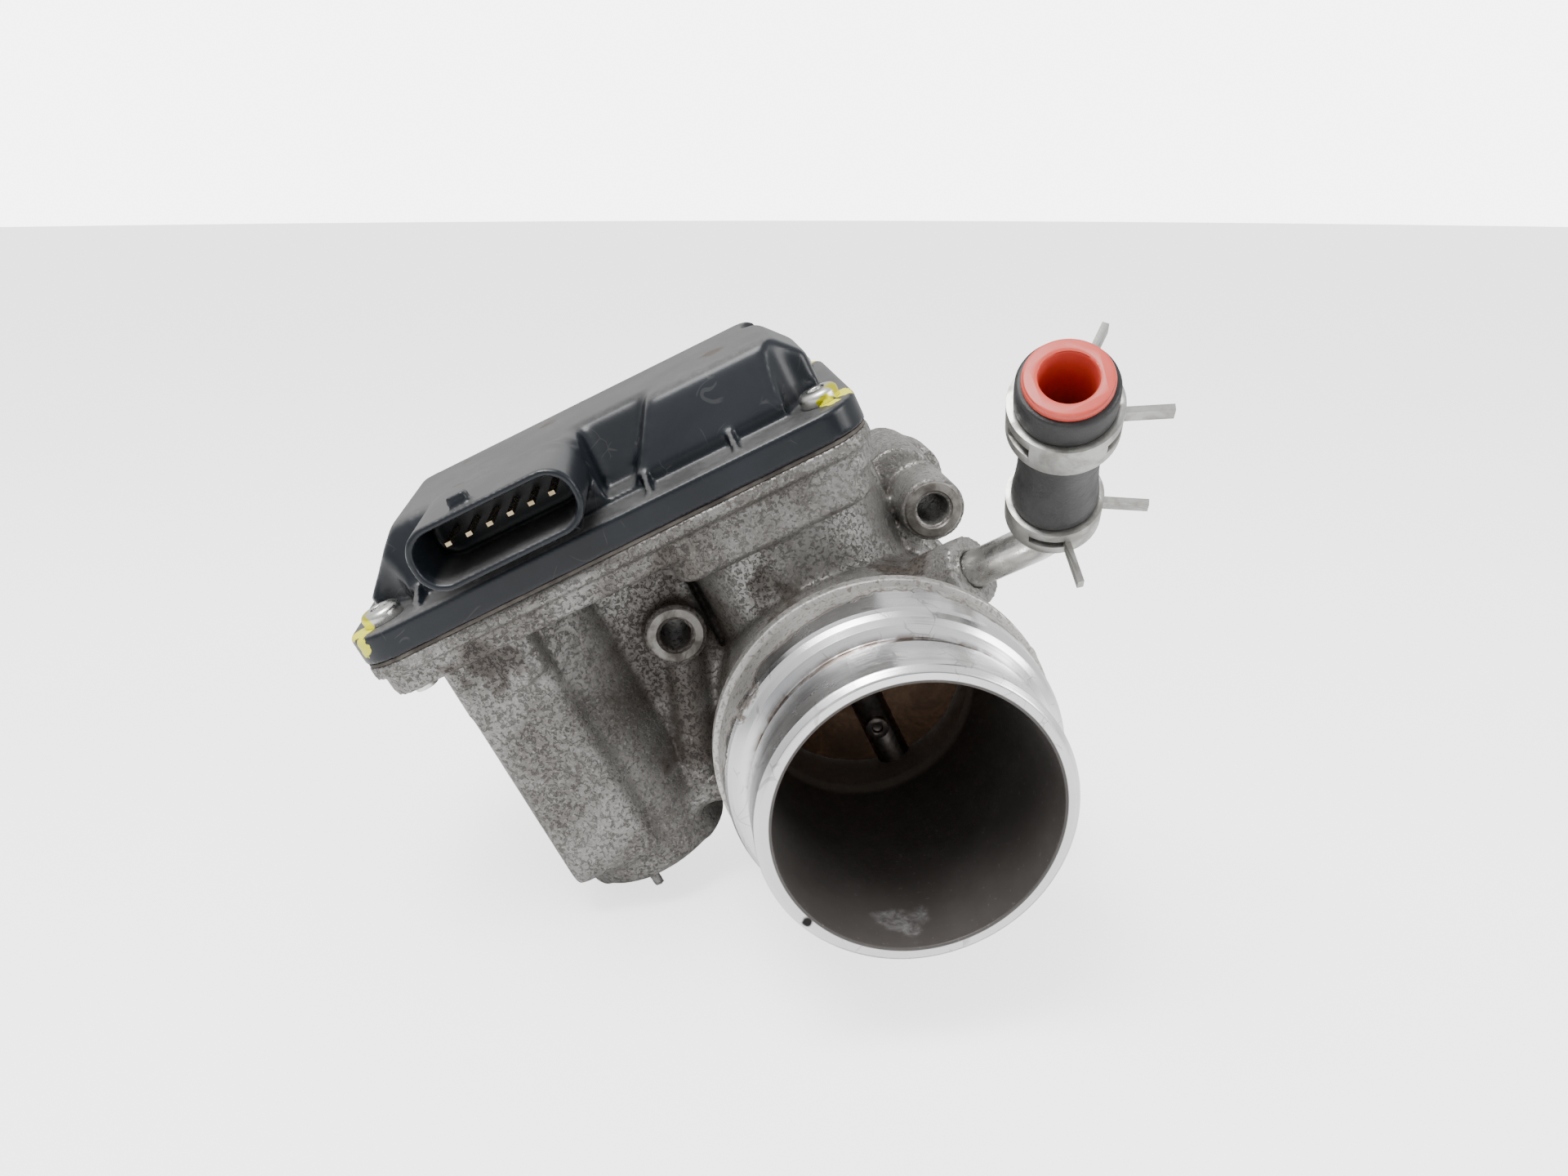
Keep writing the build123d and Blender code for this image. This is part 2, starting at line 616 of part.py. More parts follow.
def sector_arc():
    """Angles between which the sector keeps its teeth."""
    contact = 180 - degrees(atan2(IDLER_RISE, -IDLER_X))
    return contact - SECTOR_MARGIN_DEG, contact + OPEN_DEG + SECTOR_MARGIN_DEG


def pie(radius, start_deg, end_deg):
    """Wedge of a disc between two angles."""
    steps = 12
    angles = [radians(start_deg + (end_deg - start_deg) * i / steps) for i in range(steps + 1)]
    rim = [(radius * cos(a), radius * sin(a)) for a in angles]
    return make_face(Polyline((0, 0), *rim, close=True))


def make_sector_gear():
    """Toothed sector with a hub and a stop lug, pressed onto the shaft."""
    start, end = sector_arc()
    phase = start + SECTOR_MARGIN_DEG + half_tooth(SECTOR_TEETH)
    sector_r = SECTOR_TEETH * MODULE_SLOW / 2
    face = gear_sketch(SECTOR_TEETH, MODULE_SLOW, phase) & pie(2 * sector_r, start, end)
    face -= pie(sector_r - 3.2, start + 8, end - 8) - Circle(HUB_D / 2 + 2)
    spokes = [Rot(0, 0, start + share * (end - start)) * Pos(sector_r / 2, 0)
              * Rectangle(sector_r - 4, 3.0) for share in (0.35, 0.65)]
    face = face + Circle(HUB_D / 2 + 2.2) + spokes
    gear = Pos(0, SHAFT_Y, SECTOR_Z) * extrude(face, SECTOR_THICKNESS)
    gear += post(0, SHAFT_Y, HUB_D / 2, SECTOR_Z, WHEEL_Z + WHEEL_THICKNESS + 0.8)
    return gear - make_shaft_core()


def make_shaft_core():
    """Space that the shaft's flatted end takes in the hub."""
    core = post(0, SHAFT_Y, SHAFT_D / 2, SECTOR_Z - 1, COVER_TOP)
    return core - block(2.8, SHAFT_D, SHAFT_Y - SHAFT_D, SHAFT_Y + SHAFT_D, SECTOR_Z, COVER_TOP)


def hub_top():
    """Top of the sector's hub."""
    return WHEEL_Z + WHEEL_THICKNESS + 0.8


def make_sensor_magnet():
    """Ring magnet on top of the sector's hub."""
    ring = tube(0, SHAFT_Y, 8.0, 4.6, hub_top(), hub_top() + 4.5)
    return ring


def make_hall_sensor():
    """Sensor board and chip under the cover, above the magnet."""
    top = COVER_TOP - COVER_WALL
    board = block(-8, 12, SHAFT_Y - 6, SHAFT_Y + 9, top - 1.6, top)
    chip = block(-4, 4, SHAFT_Y - 3.5, SHAFT_Y + 3.5, top - 4.0, top - 1.5)
    return board + chip


def make_return_spring():
    """Torsion spring in the well round the upper bush."""
    pitch = 1.7
    base = CASE_BASE - CASE_STEP + 3.9
    height = POCKET_Z - base - 0.9
    path = Pos(0, SHAFT_Y, base) * Helix(pitch, height, 12.0)
    wire = Plane(origin=path @ 0, z_dir=path % 0) * Circle(0.6)
    return sweep(wire, path=path, is_frenet=True)


def stop_screw_place():
    """Where the closed stop stands in the gear pocket, as (x, y)."""
    return (14.5, SHAFT_Y - 14.5)


def make_stop_screw():
    """Set screw that the sector meets when closed."""
    x, y = stop_screw_place()
    return post(x, y, 2.0, CASE_BASE - 3, SECTOR_Z + SECTOR_THICKNESS)


# ---- motor ---------------------------------------------------------------------------
def can_bottom():
    """Underside of the motor can."""
    return -HOUSING_END + HOUSING_FLOOR + 1.2


def armature_base():
    """Underside of the armature core."""
    return can_bottom() + 12.0


def motor_screw_ys():
    """The two motor screws, either side of the motor axis."""
    return (SHAFT_Y - MOTOR_EAR_X - 3.4, SHAFT_Y + MOTOR_EAR_X + 3.4)


def make_motor_can():
    """Drawn steel can, closed at the bottom."""
    bottom = can_bottom()
    outer_r = MOTOR_D / 2
    can = post(MOTOR_X, SHAFT_Y, outer_r, bottom, POCKET_Z)
    can = fillet(can.faces().sort_by(Axis.Z)[0].edges(), 1.5)
    can -= post(MOTOR_X, SHAFT_Y, outer_r - CAN_WALL, bottom + 1.4, POCKET_Z + 1)
    return can - post(MOTOR_X, SHAFT_Y, MOTOR_SHAFT_D / 2 + RUNNING_GAP, bottom - 1, bottom + 2)


def make_motor_magnets():
    """Two arc magnets inside the can."""
    outer_r = MOTOR_D / 2 - CAN_WALL
    base = armature_base() - 1
    ring = tube(MOTOR_X, SHAFT_Y, outer_r, outer_r - MAGNET_THICKNESS, base, base + ARMATURE_LENGTH + 2)
    gap = block(MOTOR_X - 3, MOTOR_X + 3, SHAFT_Y - 20, SHAFT_Y + 20, base - 1, base + ARMATURE_LENGTH + 4)
    return ring - gap


def make_motor_armature():
    """Slotted iron core on the motor shaft."""
    core_r = MOTOR_D / 2 - CAN_WALL - MAGNET_THICKNESS - AIR_GAP
    base = armature_base()
    core = tube(MOTOR_X, SHAFT_Y, core_r, MOTOR_SHAFT_D / 2, base, base + ARMATURE_LENGTH)
    for step in range(5):
        slot = Rot(0, 0, 72 * step) * Pos(core_r, 0, base + ARMATURE_LENGTH / 2) * Box(7, 1.8, 60)
        core -= Pos(MOTOR_X, SHAFT_Y, 0) * slot
    return core


def make_motor_windings():
    """Wound ends above and below the armature core."""
    base = armature_base()
    low = tube(MOTOR_X, SHAFT_Y, 8.2, MOTOR_SHAFT_D / 2, base - 4, base)
    top = base + ARMATURE_LENGTH
    high = tube(MOTOR_X, SHAFT_Y, 8.2, MOTOR_SHAFT_D / 2, top, top + 4)
    return [low, high]


def make_commutator():
    """Commutator above the windings."""
    base = armature_base() + ARMATURE_LENGTH + 4
    ring = tube(MOTOR_X, SHAFT_Y, COMMUTATOR_D / 2, MOTOR_SHAFT_D / 2, base, base + COMMUTATOR_LENGTH)
    return ring


def make_motor_brushes():
    """Two carbon brushes beside the commutator, in the end cap's guides."""
    base = armature_base() + ARMATURE_LENGTH + 5.5
    brushes = []
    for side in (-1, 1):
        near = COMMUTATOR_D / 2 + 0.3
        x0, x1 = sorted((MOTOR_X + side * near, MOTOR_X + side * (near + 6)))
        brushes.append(block(x0, x1, SHAFT_Y - 2, SHAFT_Y + 2, base, POCKET_Z))
    return brushes


def make_motor_end_cap():
    """Plate that closes the can and screws to the case."""
    z0, z1 = POCKET_Z, POCKET_Z + END_CAP_THICKNESS
    ears = RectangleRounded(12, 2 * (MOTOR_EAR_X + 3.4) + 8, 3.9)
    plate = extrude(Pos(MOTOR_X, SHAFT_Y, z0) * (Circle(MOTOR_D / 2 + 1.5) + ears), z1 - z0)
    plate -= post(MOTOR_X, SHAFT_Y, MOTOR_SHAFT_D / 2 + RUNNING_GAP, z0 - 1, z1 + 1)
    for y in motor_screw_ys():
        plate -= post(MOTOR_X, y, 1.5, z0 - 1, z1 + 1)
    return plate


def make_motor_screws():
    """Two screws that hold the end cap."""
    screws = []
    z1 = POCKET_Z + END_CAP_THICKNESS
    for y in motor_screw_ys():
        head = post(MOTOR_X, y, 2.6, z1, z1 + 1.8)
        screws.append(head + post(MOTOR_X, y, 1.5, CASE_BASE - 5, z1 + 0.5))
    return screws


def make_motor_shaft():
    """Motor shaft from the can's bottom bearing to the pinion."""
    return post(MOTOR_X, SHAFT_Y, MOTOR_SHAFT_D / 2, can_bottom() + 0.4, WHEEL_Z + WHEEL_THICKNESS + 0.6)


def make_motor_pinion():
    """Pinion pressed on the motor shaft, in mesh with the large wheel."""
    phase = motor_line_angle() + 180
    face = gear_sketch(PINION_TEETH, MODULE_FAST, phase) - Circle(MOTOR_SHAFT_D / 2)
    base = POCKET_Z + END_CAP_THICKNESS + 0.6
    return Pos(MOTOR_X, SHAFT_Y, base) * extrude(face, WHEEL_Z + WHEEL_THICKNESS - base)


def make_wave_spring():
    """Spring washer that loads the motor can from below."""
    floor = -HOUSING_END + HOUSING_FLOOR
    return tube(MOTOR_X, SHAFT_Y, 9.0, 6.0, floor, floor + 1.2)


# ---- cover, gasket, screws and terminals ----------------------------------------------
def crown(inset, z0, z1):
    """Raised box of the cover, sloped at its left and right ends and leaning at the front."""
    x0 = CASE_X0 + CROWN_LEFT + inset
    x1 = CASE_X1 - CROWN_RIGHT - inset
    y0 = CASE_Y0 + CROWN_FRONT + inset
    y1 = CASE_Y1 - CROWN_REAR - inset
    slab = rounded_slab(x0, x1, y0, y1, z0, z1, CROWN_CORNER_R - inset)
    drop_left = CROWN_SLOPE_LEFT
    drop_right = CROWN_SLOPE_RIGHT
    ends = make_face(Polyline(
        (x0, z0), (x0, z1 - drop_left), (x0 + drop_left, z1),
        (x1 - drop_right, z1), (x1, z1 - 1.1 * drop_right), (x1, z0), close=True,
    ))
    depth = y1 - y0
    sides = make_face(Polyline(
        (y0, z0), (y0, LIP_TOP + 3), (y0 + CROWN_LEAN, z1), (y1, z1), (y1, z0), close=True,
    ))
    shape = slab & Pos(0, y1 + depth, 0) * extrude(Plane.XZ * ends, 3 * depth)
    return shape & Pos(x0 - 1, 0, 0) * extrude(Plane.YZ * sides, x1 - x0 + 2)


def valley(grow):
    """Dip taken out of the crown's front between the socket and the dome."""
    front = CASE_Y0 + CROWN_FRONT - 8
    back = CASE_Y0 + CROWN_FRONT + VALLEY_DEPTH + grow
    floor = LIP_TOP + 1.5 - grow
    top = COVER_TOP + 2
    left = VALLEY_LEFT - grow
    right = VALLEY_RIGHT + grow
    across = make_face(Polyline(
        (left, floor), (right, floor), (right + VALLEY_RUN, top), (left, top), close=True))
    along_y = make_face(Polyline(
        (front, floor), (back - 6, floor), (back, COVER_TOP), (back, top), (front, top), close=True))
    wedge = Pos(0, back + 1, 0) * extrude(Plane.XZ * across, back - front + 2)
    return wedge & Pos(left - 1, 0, 0) * extrude(Plane.YZ * along_y, right - left + VALLEY_RUN + 2)


def socket_prism(inset, y0, y1):
    """Oval prism along Y for the plug socket."""
    width = SOCKET_WIDTH - 2 * inset
    height = SOCKET_HEIGHT - 2 * inset
    sketch = Pos(SOCKET_X, SOCKET_Z) * RectangleRounded(width, height, height * 0.44)
    return Pos(0, y1, 0) * extrude(Plane.XZ * sketch, y1 - y0)


def terminal_block(index, grow):
    """One terminal of the plug socket."""
    x = SOCKET_X + (index - (PIN_COUNT - 1) / 2) * PIN_PITCH
    y0 = CASE_Y0 - SOCKET_REACH + 9
    half_w = PIN_WIDTH / 2 + grow
    half_h = PIN_HEIGHT / 2 + grow
    return block(x - half_w, x + half_w, y0, y0 + PIN_LENGTH, SOCKET_Z - half_h, SOCKET_Z + half_h)


def cover_ribs():
    """Thin stiffening ribs on the lip, in front of the crown."""
    ribs = []
    y0, y1 = CASE_Y0 + 1.5, CASE_Y0 + CROWN_FRONT + 1
    for x in RIB_PLACES:
        face = make_face(Polyline((y0, LIP_TOP - 0.5), (y1, LIP_TOP - 0.5), (y1, LIP_TOP + 3.4),
                                  (y0 + 1.0, LIP_TOP + 0.8), close=True))
        rib = Pos(x - RIB_THICKNESS / 2, 0, 0) * extrude(Plane.YZ * face, RIB_THICKNESS)
        ribs.append(rib)
    return ribs


def make_gear_cover():
    """Moulded cover with its socket, screw lugs, ribs, dome and hollow inside."""
    lip = case_slab(0, COVER_BASE, LIP_TOP)
    lip = fillet(lip.faces().sort_by(Axis.Z)[-1].edges(), 0.8)
    outer_crown = crown(0, COVER_BASE, COVER_TOP)
    outer_crown -= valley(0)
    top_edges = outer_crown.faces().sort_by(Axis.Z)[-1].edges()
    outer_crown = fillet(top_edges, CROWN_EDGE_R)
    for x, y in SCREW_POINTS:
        outer_crown -= post(x, y, LUG_R, LIP_TOP, COVER_TOP + 5)
    front = CASE_Y0 - SOCKET_REACH
    shroud = socket_prism(0, front, CASE_Y0 + CROWN_FRONT + 6)
    bridge = block(SOCKET_X - SOCKET_WIDTH / 2 + 6, SOCKET_X + SOCKET_WIDTH / 2 - 6,
                   CASE_Y0 + 2, CASE_Y0 + CROWN_FRONT + 4, LIP_TOP - 1, SOCKET_Z)
    tab = block(SOCKET_X - 5.5, SOCKET_X - 1.5, front + 1.5, front + 4.5,
                SOCKET_Z + SOCKET_HEIGHT / 2 - 0.5, SOCKET_Z + SOCKET_HEIGHT / 2 + 2.4)
    cover = lip + outer_crown + shroud + bridge + tab + cover_ribs()
    inside = crown(COVER_WALL, COVER_BASE - 1, COVER_TOP - COVER_WALL) - valley(COVER_WALL)
    inside -= socket_prism(-0.2, front, front + SOCKET_DEPTH + 2.0)
    for x, y in SCREW_POINTS:
        inside -= post(x, y, LUG_R + COVER_WALL, COVER_BASE, COVER_TOP)
    skirt = case_slab(COVER_WALL, COVER_BASE - 1, LIP_TOP - COVER_WALL)
    for x, y in SCREW_POINTS:
        skirt -= post(x, y, LUG_R - 1.2, COVER_BASE - 2, LIP_TOP)
    cover -= inside
    cover -= skirt
    cover -= socket_prism(SOCKET_WALL, front - 1, front + SOCKET_DEPTH)
    for index in range(PIN_COUNT):
        cover -= terminal_block(index, 0)
    for x, y in SCREW_POINTS:
        cover -= post(x, y, SCREW_D / 2, COVER_BASE - 2, COVER_TOP)
    return cover


def make_gasket():
    """Flat gasket between the case rim and the cover."""
    gasket = case_slab(0.3, DECK, COVER_BASE) - case_slab(1.6 + CASE_WALL, DECK - 1, COVER_BASE + 1)
    for x, y in SCREW_POINTS:
        gasket += post(x, y, LUG_R - 1.4, DECK, COVER_BASE) & case_slab(0.3, DECK, COVER_BASE)
    for x, y in SCREW_POINTS:
        gasket -= post(x, y, SCREW_D / 2, DECK - 1, COVER_BASE + 1)
    return gasket


def make_cover_screws():
    """Button-head screws at the cover's corners, their points showing under the rim."""
    screws = []
    for x, y in SCREW_POINTS:
        head = post(x, y, SCREW_HEAD_D / 2, LIP_TOP, LIP_TOP + SCREW_HEAD_HEIGHT)
        head = fillet(head.faces().sort_by(Axis.Z)[-1].edges(), 1.3)
        head -= post(x, y, 1.6, LIP_TOP + SCREW_HEAD_HEIGHT - 1.4, LIP_TOP + SCREW_HEAD_HEIGHT + 1)
        shank = post(x, y, SCREW_D / 2, CASE_BASE - SCREW_POINT, LIP_TOP + 0.5)
        screws.append(head + shank)
    return screws


def make_terminals():
    """Blade terminals in the plug socket."""
    return [terminal_block(index, 0) for index in range(PIN_COUNT)]


# ---- coolant side ----------------------------------------------------------------------
def hose_direction():
    """Unit vector along the hose, from the pipe to its open end."""
    return unit(HOSE_DIRECTION)


def hose_base():
    """Middle of the hose's lower end."""
    return moved(PIPE_CORNER, hose_direction(), PIPE_TO_HOSE)


def make_coolant_pipe():
    """Bent steel pipe, pressed into the casting and pushed into the hose."""
    run = unit(tuple(b - a for a, b in zip(PIPE_START, PIPE_CORNER)))
    start = moved(PIPE_START, run, -3)
    end = moved(hose_base(), hose_direction(), PIPE_IN_HOSE)
    path = FilletPolyline(start, PIPE_CORNER, end, radius=PIPE_BEND_R)
    ring = Circle(PIPE_OD / 2) - Circle(PIPE_OD / 2 - PIPE_WALL)
    return sweep(Plane(origin=start, z_dir=run) * ring, path=path)


def make_return_nipple():
    """Short straight coolant connection beside the barrel, thinner where it is pressed in."""
    below = unit(NIPPLE_DIRECTION)
    face = moved(NIPPLE_START, below, NIPPLE_BOSS_END)
    bore = Circle(PIPE_OD / 2 - PIPE_WALL - NIPPLE_STEP)
    free = along(face, below, Circle(PIPE_OD / 2) - bore, NIPPLE_FREE)
    start = moved(face, below, -NIPPLE_IN_BOSS)
    return free + along(start, below, Circle(PIPE_OD / 2 - NIPPLE_STEP) - bore, NIPPLE_IN_BOSS)


def hose_plane(distance):
    """Plane across the hose at a distance from its lower end."""
    origin = moved(hose_base(), hose_direction(), distance)
    return Plane(origin=origin, x_dir=(1, 0, -HOSE_DIRECTION[0] / HOSE_DIRECTION[2]), z_dir=HOSE_DIRECTION)


def hose_radius(distance):
    """Outside radius of the hose at a distance from its lower end."""
    share = distance / HOSE_LENGTH
    return (HOSE_LOWER_OD + (HOSE_UPPER_OD - HOSE_LOWER_OD) * share) / 2


def make_hose():
    """Rubber hose stub over the pipe, bored wider at its open end for the plug."""
    profile = make_face(Polyline(
        (PIPE_OD / 2, 0), (HOSE_LOWER_OD / 2, 0), (HOSE_UPPER_OD / 2, HOSE_LENGTH),
        (PLUG_SHANK_D / 2, HOSE_LENGTH), (PLUG_SHANK_D / 2, HOSE_LENGTH - PLUG_LENGTH - 2),
        (PIPE_OD / 2, HOSE_LENGTH - PLUG_LENGTH - 8), close=True,
    ))
    return hose_plane(0) * revolve(Plane.XZ * profile, Axis.Z)


def make_hose_plug():
    """Hollow coloured bush in the hose's open end."""
    shank = Cylinder(PLUG_SHANK_D / 2, PLUG_LENGTH)
    bush = Pos(0, 0, -PLUG_LENGTH / 2) * shank
    bush += Pos(0, 0, PLUG_FLANGE_T / 2) * Cylinder(PLUG_FLANGE_D / 2, PLUG_FLANGE_T)
    bush -= Cylinder(PLUG_BORE / 2, 3 * PLUG_LENGTH)
    top = bush.faces().sort_by(Axis.Z)[-1]
    bush = chamfer(top.edges(), 0.4)
    return hose_plane(HOSE_LENGTH) * bush


def spring_clamp(share, turn_deg, spread_deg):
    """Flat spring band round the hose with two ears to squeeze."""
    middle = share * HOSE_LENGTH
    inner = max(hose_radius(middle - BAND_WIDTH / 2), hose_radius(middle + BAND_WIDTH / 2))
    band = Cylinder(inner + BAND_THICKNESS, BAND_WIDTH) - Cylinder(inner, 2 * BAND_WIDTH)
    window = Pos(-inner, 0, 0) * Box(4, 5.5, 2.4)
    band -= Pos(inner * cos(pi / 3), -inner * sin(pi / 3), 0) * Rot(0, 0, -60) * Box(4, 6.5, 2.2)
    band -= window
    ears = []
    for side, shift in ((-1, -1.0), (1, 1.0)):
        ear = Pos(inner + BAND_THICKNESS / 2 + EAR_LENGTH / 2, 0, shift)
        ears.append(Rot(0, 0, side * spread_deg / 2) * ear * Box(EAR_LENGTH, BAND_THICKNESS, EAR_WIDTH))
    return hose_plane(middle) * Rot(0, 0, turn_deg) * (band + ears)


def make_upper_clamp():
    """Clamp near the hose's open end."""
    return spring_clamp(UPPER_BAND_AT, 12, 64)


def make_lower_clamp():
    """Clamp over the pipe end of the hose."""
    return spring_clamp(LOWER_BAND_AT, -62, 70)


# ---- all pieces --------------------------------------------------------------------
PIECES = {
    "throttle_body": make_body,
    "gear_cover": make_gear_cover,
    "cover_gasket": make_gasket,
    "cover_screws": make_cover_screws,
    "connector_terminals": make_terminals,
    "hall_sensor": make_hall_sensor,
    "throttle_shaft": make_shaft,
    "throttle_plate": make_plate,
    "plate_screws": make_plate_screws,
    "lower_bush": make_lower_bush,
    "upper_bush": make_upper_bush,
    "lower_seal": make_lower_seal,
    "upper_seal": make_upper_seal,
    "core_plug": make_core_plug,
    "sector_gear": make_sector_gear,
    "sensor_magnet": make_sensor_magnet,
    "return_spring": make_return_spring,
    "stop_screw": make_stop_screw,
    "intermediate_gear": make_intermediate_gear,
    "idler_pin": make_idler_pin,
    "motor_can": make_motor_can,
    "motor_magnets": make_motor_magnets,
    "motor_armature": make_motor_armature,
    "motor_windings": make_motor_windings,
    "motor_commutator": make_commutator,
    "motor_brushes": make_motor_brushes,
    "motor_end_cap": make_motor_end_cap,
    "motor_screws": make_motor_screws,
    "motor_shaft": make_motor_shaft,
    "motor_pinion": make_motor_pinion,
    "wave_spring": make_wave_spring,
    "coolant_pipe": make_coolant_pipe,
    "return_nipple": make_return_nipple,
    "coolant_hose": make_hose,
    "hose_plug": make_hose_plug,
    "upper_clamp": make_upper_clamp,
    "lower_clamp": make_lower_clamp,
}


def lean(shape):
    """Lean a piece, or each of a list of pieces, onto its resting side."""
    if isinstance(shape, list):
        return Compound(children=[Rot(0, -ROLL, 0) * one for one in shape])
    return Rot(0, -ROLL, 0) * shape


def main():
    """Build every piece and write it."""
    os.makedirs("parts", exist_ok=True)
    for name, make in PIECES.items():
        export_step(lean(make()), "parts/" + name + ".step")


main()
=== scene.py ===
"""Electronic throttle body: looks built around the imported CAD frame."""
import json
import logging
import math
from dataclasses import dataclass
from enum import Enum
from typing import Any, Iterable

import bmesh
import bpy
from mathutils import Matrix, Vector

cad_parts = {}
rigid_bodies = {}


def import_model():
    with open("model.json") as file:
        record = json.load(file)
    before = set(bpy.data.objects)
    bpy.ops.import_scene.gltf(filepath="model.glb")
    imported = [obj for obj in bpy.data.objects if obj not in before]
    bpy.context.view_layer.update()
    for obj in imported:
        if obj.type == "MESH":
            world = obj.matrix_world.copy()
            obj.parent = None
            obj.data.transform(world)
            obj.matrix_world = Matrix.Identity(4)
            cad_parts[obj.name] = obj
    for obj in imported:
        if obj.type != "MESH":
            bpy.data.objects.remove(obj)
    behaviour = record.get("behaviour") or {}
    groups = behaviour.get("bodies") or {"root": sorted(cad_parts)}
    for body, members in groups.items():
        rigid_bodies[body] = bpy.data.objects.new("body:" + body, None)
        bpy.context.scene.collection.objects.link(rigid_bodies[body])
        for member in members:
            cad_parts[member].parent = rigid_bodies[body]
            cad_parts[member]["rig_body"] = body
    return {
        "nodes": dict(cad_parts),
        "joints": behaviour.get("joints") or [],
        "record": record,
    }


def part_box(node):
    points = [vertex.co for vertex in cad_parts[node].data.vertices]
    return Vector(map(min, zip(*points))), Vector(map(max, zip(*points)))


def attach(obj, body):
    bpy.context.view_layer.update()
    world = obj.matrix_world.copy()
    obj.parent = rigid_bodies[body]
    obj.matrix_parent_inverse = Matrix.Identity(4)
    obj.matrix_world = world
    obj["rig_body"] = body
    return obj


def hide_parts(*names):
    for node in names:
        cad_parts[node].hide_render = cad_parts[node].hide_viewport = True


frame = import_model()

LOG = logging.getLogger("throttle_body")
MM = 0.001
WELD_MM = 0.002                # points of a spun outline closer than this are one
CAD_WELD_MM = 0.004            # the same for a CAD mesh
CAD_FLAT_DEG = 0.6             # CAD faces that meet flatter than this are joined
ROUND_FROM_DEG = 32.0          # edges sharper than this are rounded
KEEP_FROM_DEG = 40.0           # edges sharper than this stay sharp in the shading
EASE = 0.5                     # share of the way to its neighbours that smoothing moves a point
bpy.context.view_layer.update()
ALONG_BORE = (0.0, 1.0, 0.0)
UPWARD = (0.0, 0.0, 1.0)

Colour = tuple[float, float, float, float]


def rgb(red: float, green: float, blue: float) -> Colour:
    """Opaque colour from three channels."""
    return (red, green, blue, 1.0)


# ---- the shaft's lean, read from the frame ------------------------------------------
def shaft_axis() -> Vector:
    """Direction of the throttle shaft towards the cover."""
    joint = next(j for j in frame["joints"] if j["name"] == "throttle_turn")
    return -Vector(joint["axis"]).normalized()


SHAFT_UP = shaft_axis()
LEAN = Matrix.Rotation(math.atan2(SHAFT_UP.x, SHAFT_UP.z), 4, "Y")


def upright(x: float, y: float, z: float) -> Vector:
    """Row-frame point of a point given in millimetres with the shaft standing upright."""
    return LEAN @ (Vector((x, y, z)) * MM)


# ---- node trees ---------------------------------------------------------------------
class Graph:
    """Adds nodes to a tree and wires them by socket name."""

    def __init__(self, tree: bpy.types.NodeTree) -> None:
        """Start on an empty tree.

        Args:
            tree: The node tree to fill.
        """
        self.tree = tree

    def add(self, kind: str, settings: dict[str, Any] | None = None, **inputs: Any) -> bpy.types.Node:
        """Add a node.

        Args:
            kind: Node type without the ShaderNode prefix.
            settings: Properties to set before the sockets.
            **inputs: Socket names, with underscores for spaces, and values or sockets.

        Returns:
            The new node.
        """
        node = self.tree.nodes.new("ShaderNode" + kind)
        for name, value in (settings or {}).items():
            setattr(node, name, value)
        for name, value in inputs.items():
            self.feed(node.inputs[name.replace("_", " ")], value)
        return node

    def feed(self, socket: bpy.types.NodeSocket, value: Any) -> None:
        """Link a socket or set its value."""
        if isinstance(value, bpy.types.NodeSocket):
            self.tree.links.new(value, socket)
        else:
            socket.default_value = value

    def math(self, operation: str, first: Any, second: Any = 0.0) -> bpy.types.NodeSocket:
        """Add a Math node and return its result."""
        node = self.add("Math", {"operation": operation})
        for socket, value in zip(node.inputs, (first, second)):
            self.feed(socket, value)
        return node.outputs[0]

    def plus(self, first: Any, second: Any) -> bpy.types.NodeSocket:
        """Sum of two values."""
        return self.math("ADD", first, second)

    def minus(self, first: Any, second: Any) -> bpy.types.NodeSocket:
        """First value less the second."""
        return self.math("SUBTRACT", first, second)

    def times(self, first: Any, second: Any) -> bpy.types.NodeSocket:
        """Product of two values."""
        return self.math("MULTIPLY", first, second)

    def ramp(self, value: Any, low: Any, high: Any) -> bpy.types.NodeSocket:
        """Smooth step of a value, from 0 at low to 1 at high."""
        node = self.add("MapRange", {"interpolation_type": "SMOOTHSTEP"},
                        Value=value, From_Min=low, From_Max=high)
        return node.outputs[0]

    def blend(self, factor: Any, first: Any, second: Any) -> bpy.types.NodeSocket:
        """Mix two colours."""
        node = self.add("Mix", {"data_type": "RGBA"})
        self.feed(node.inputs[0], factor)
        self.feed(node.inputs[6], first)
        self.feed(node.inputs[7], second)
        return node.outputs[2]


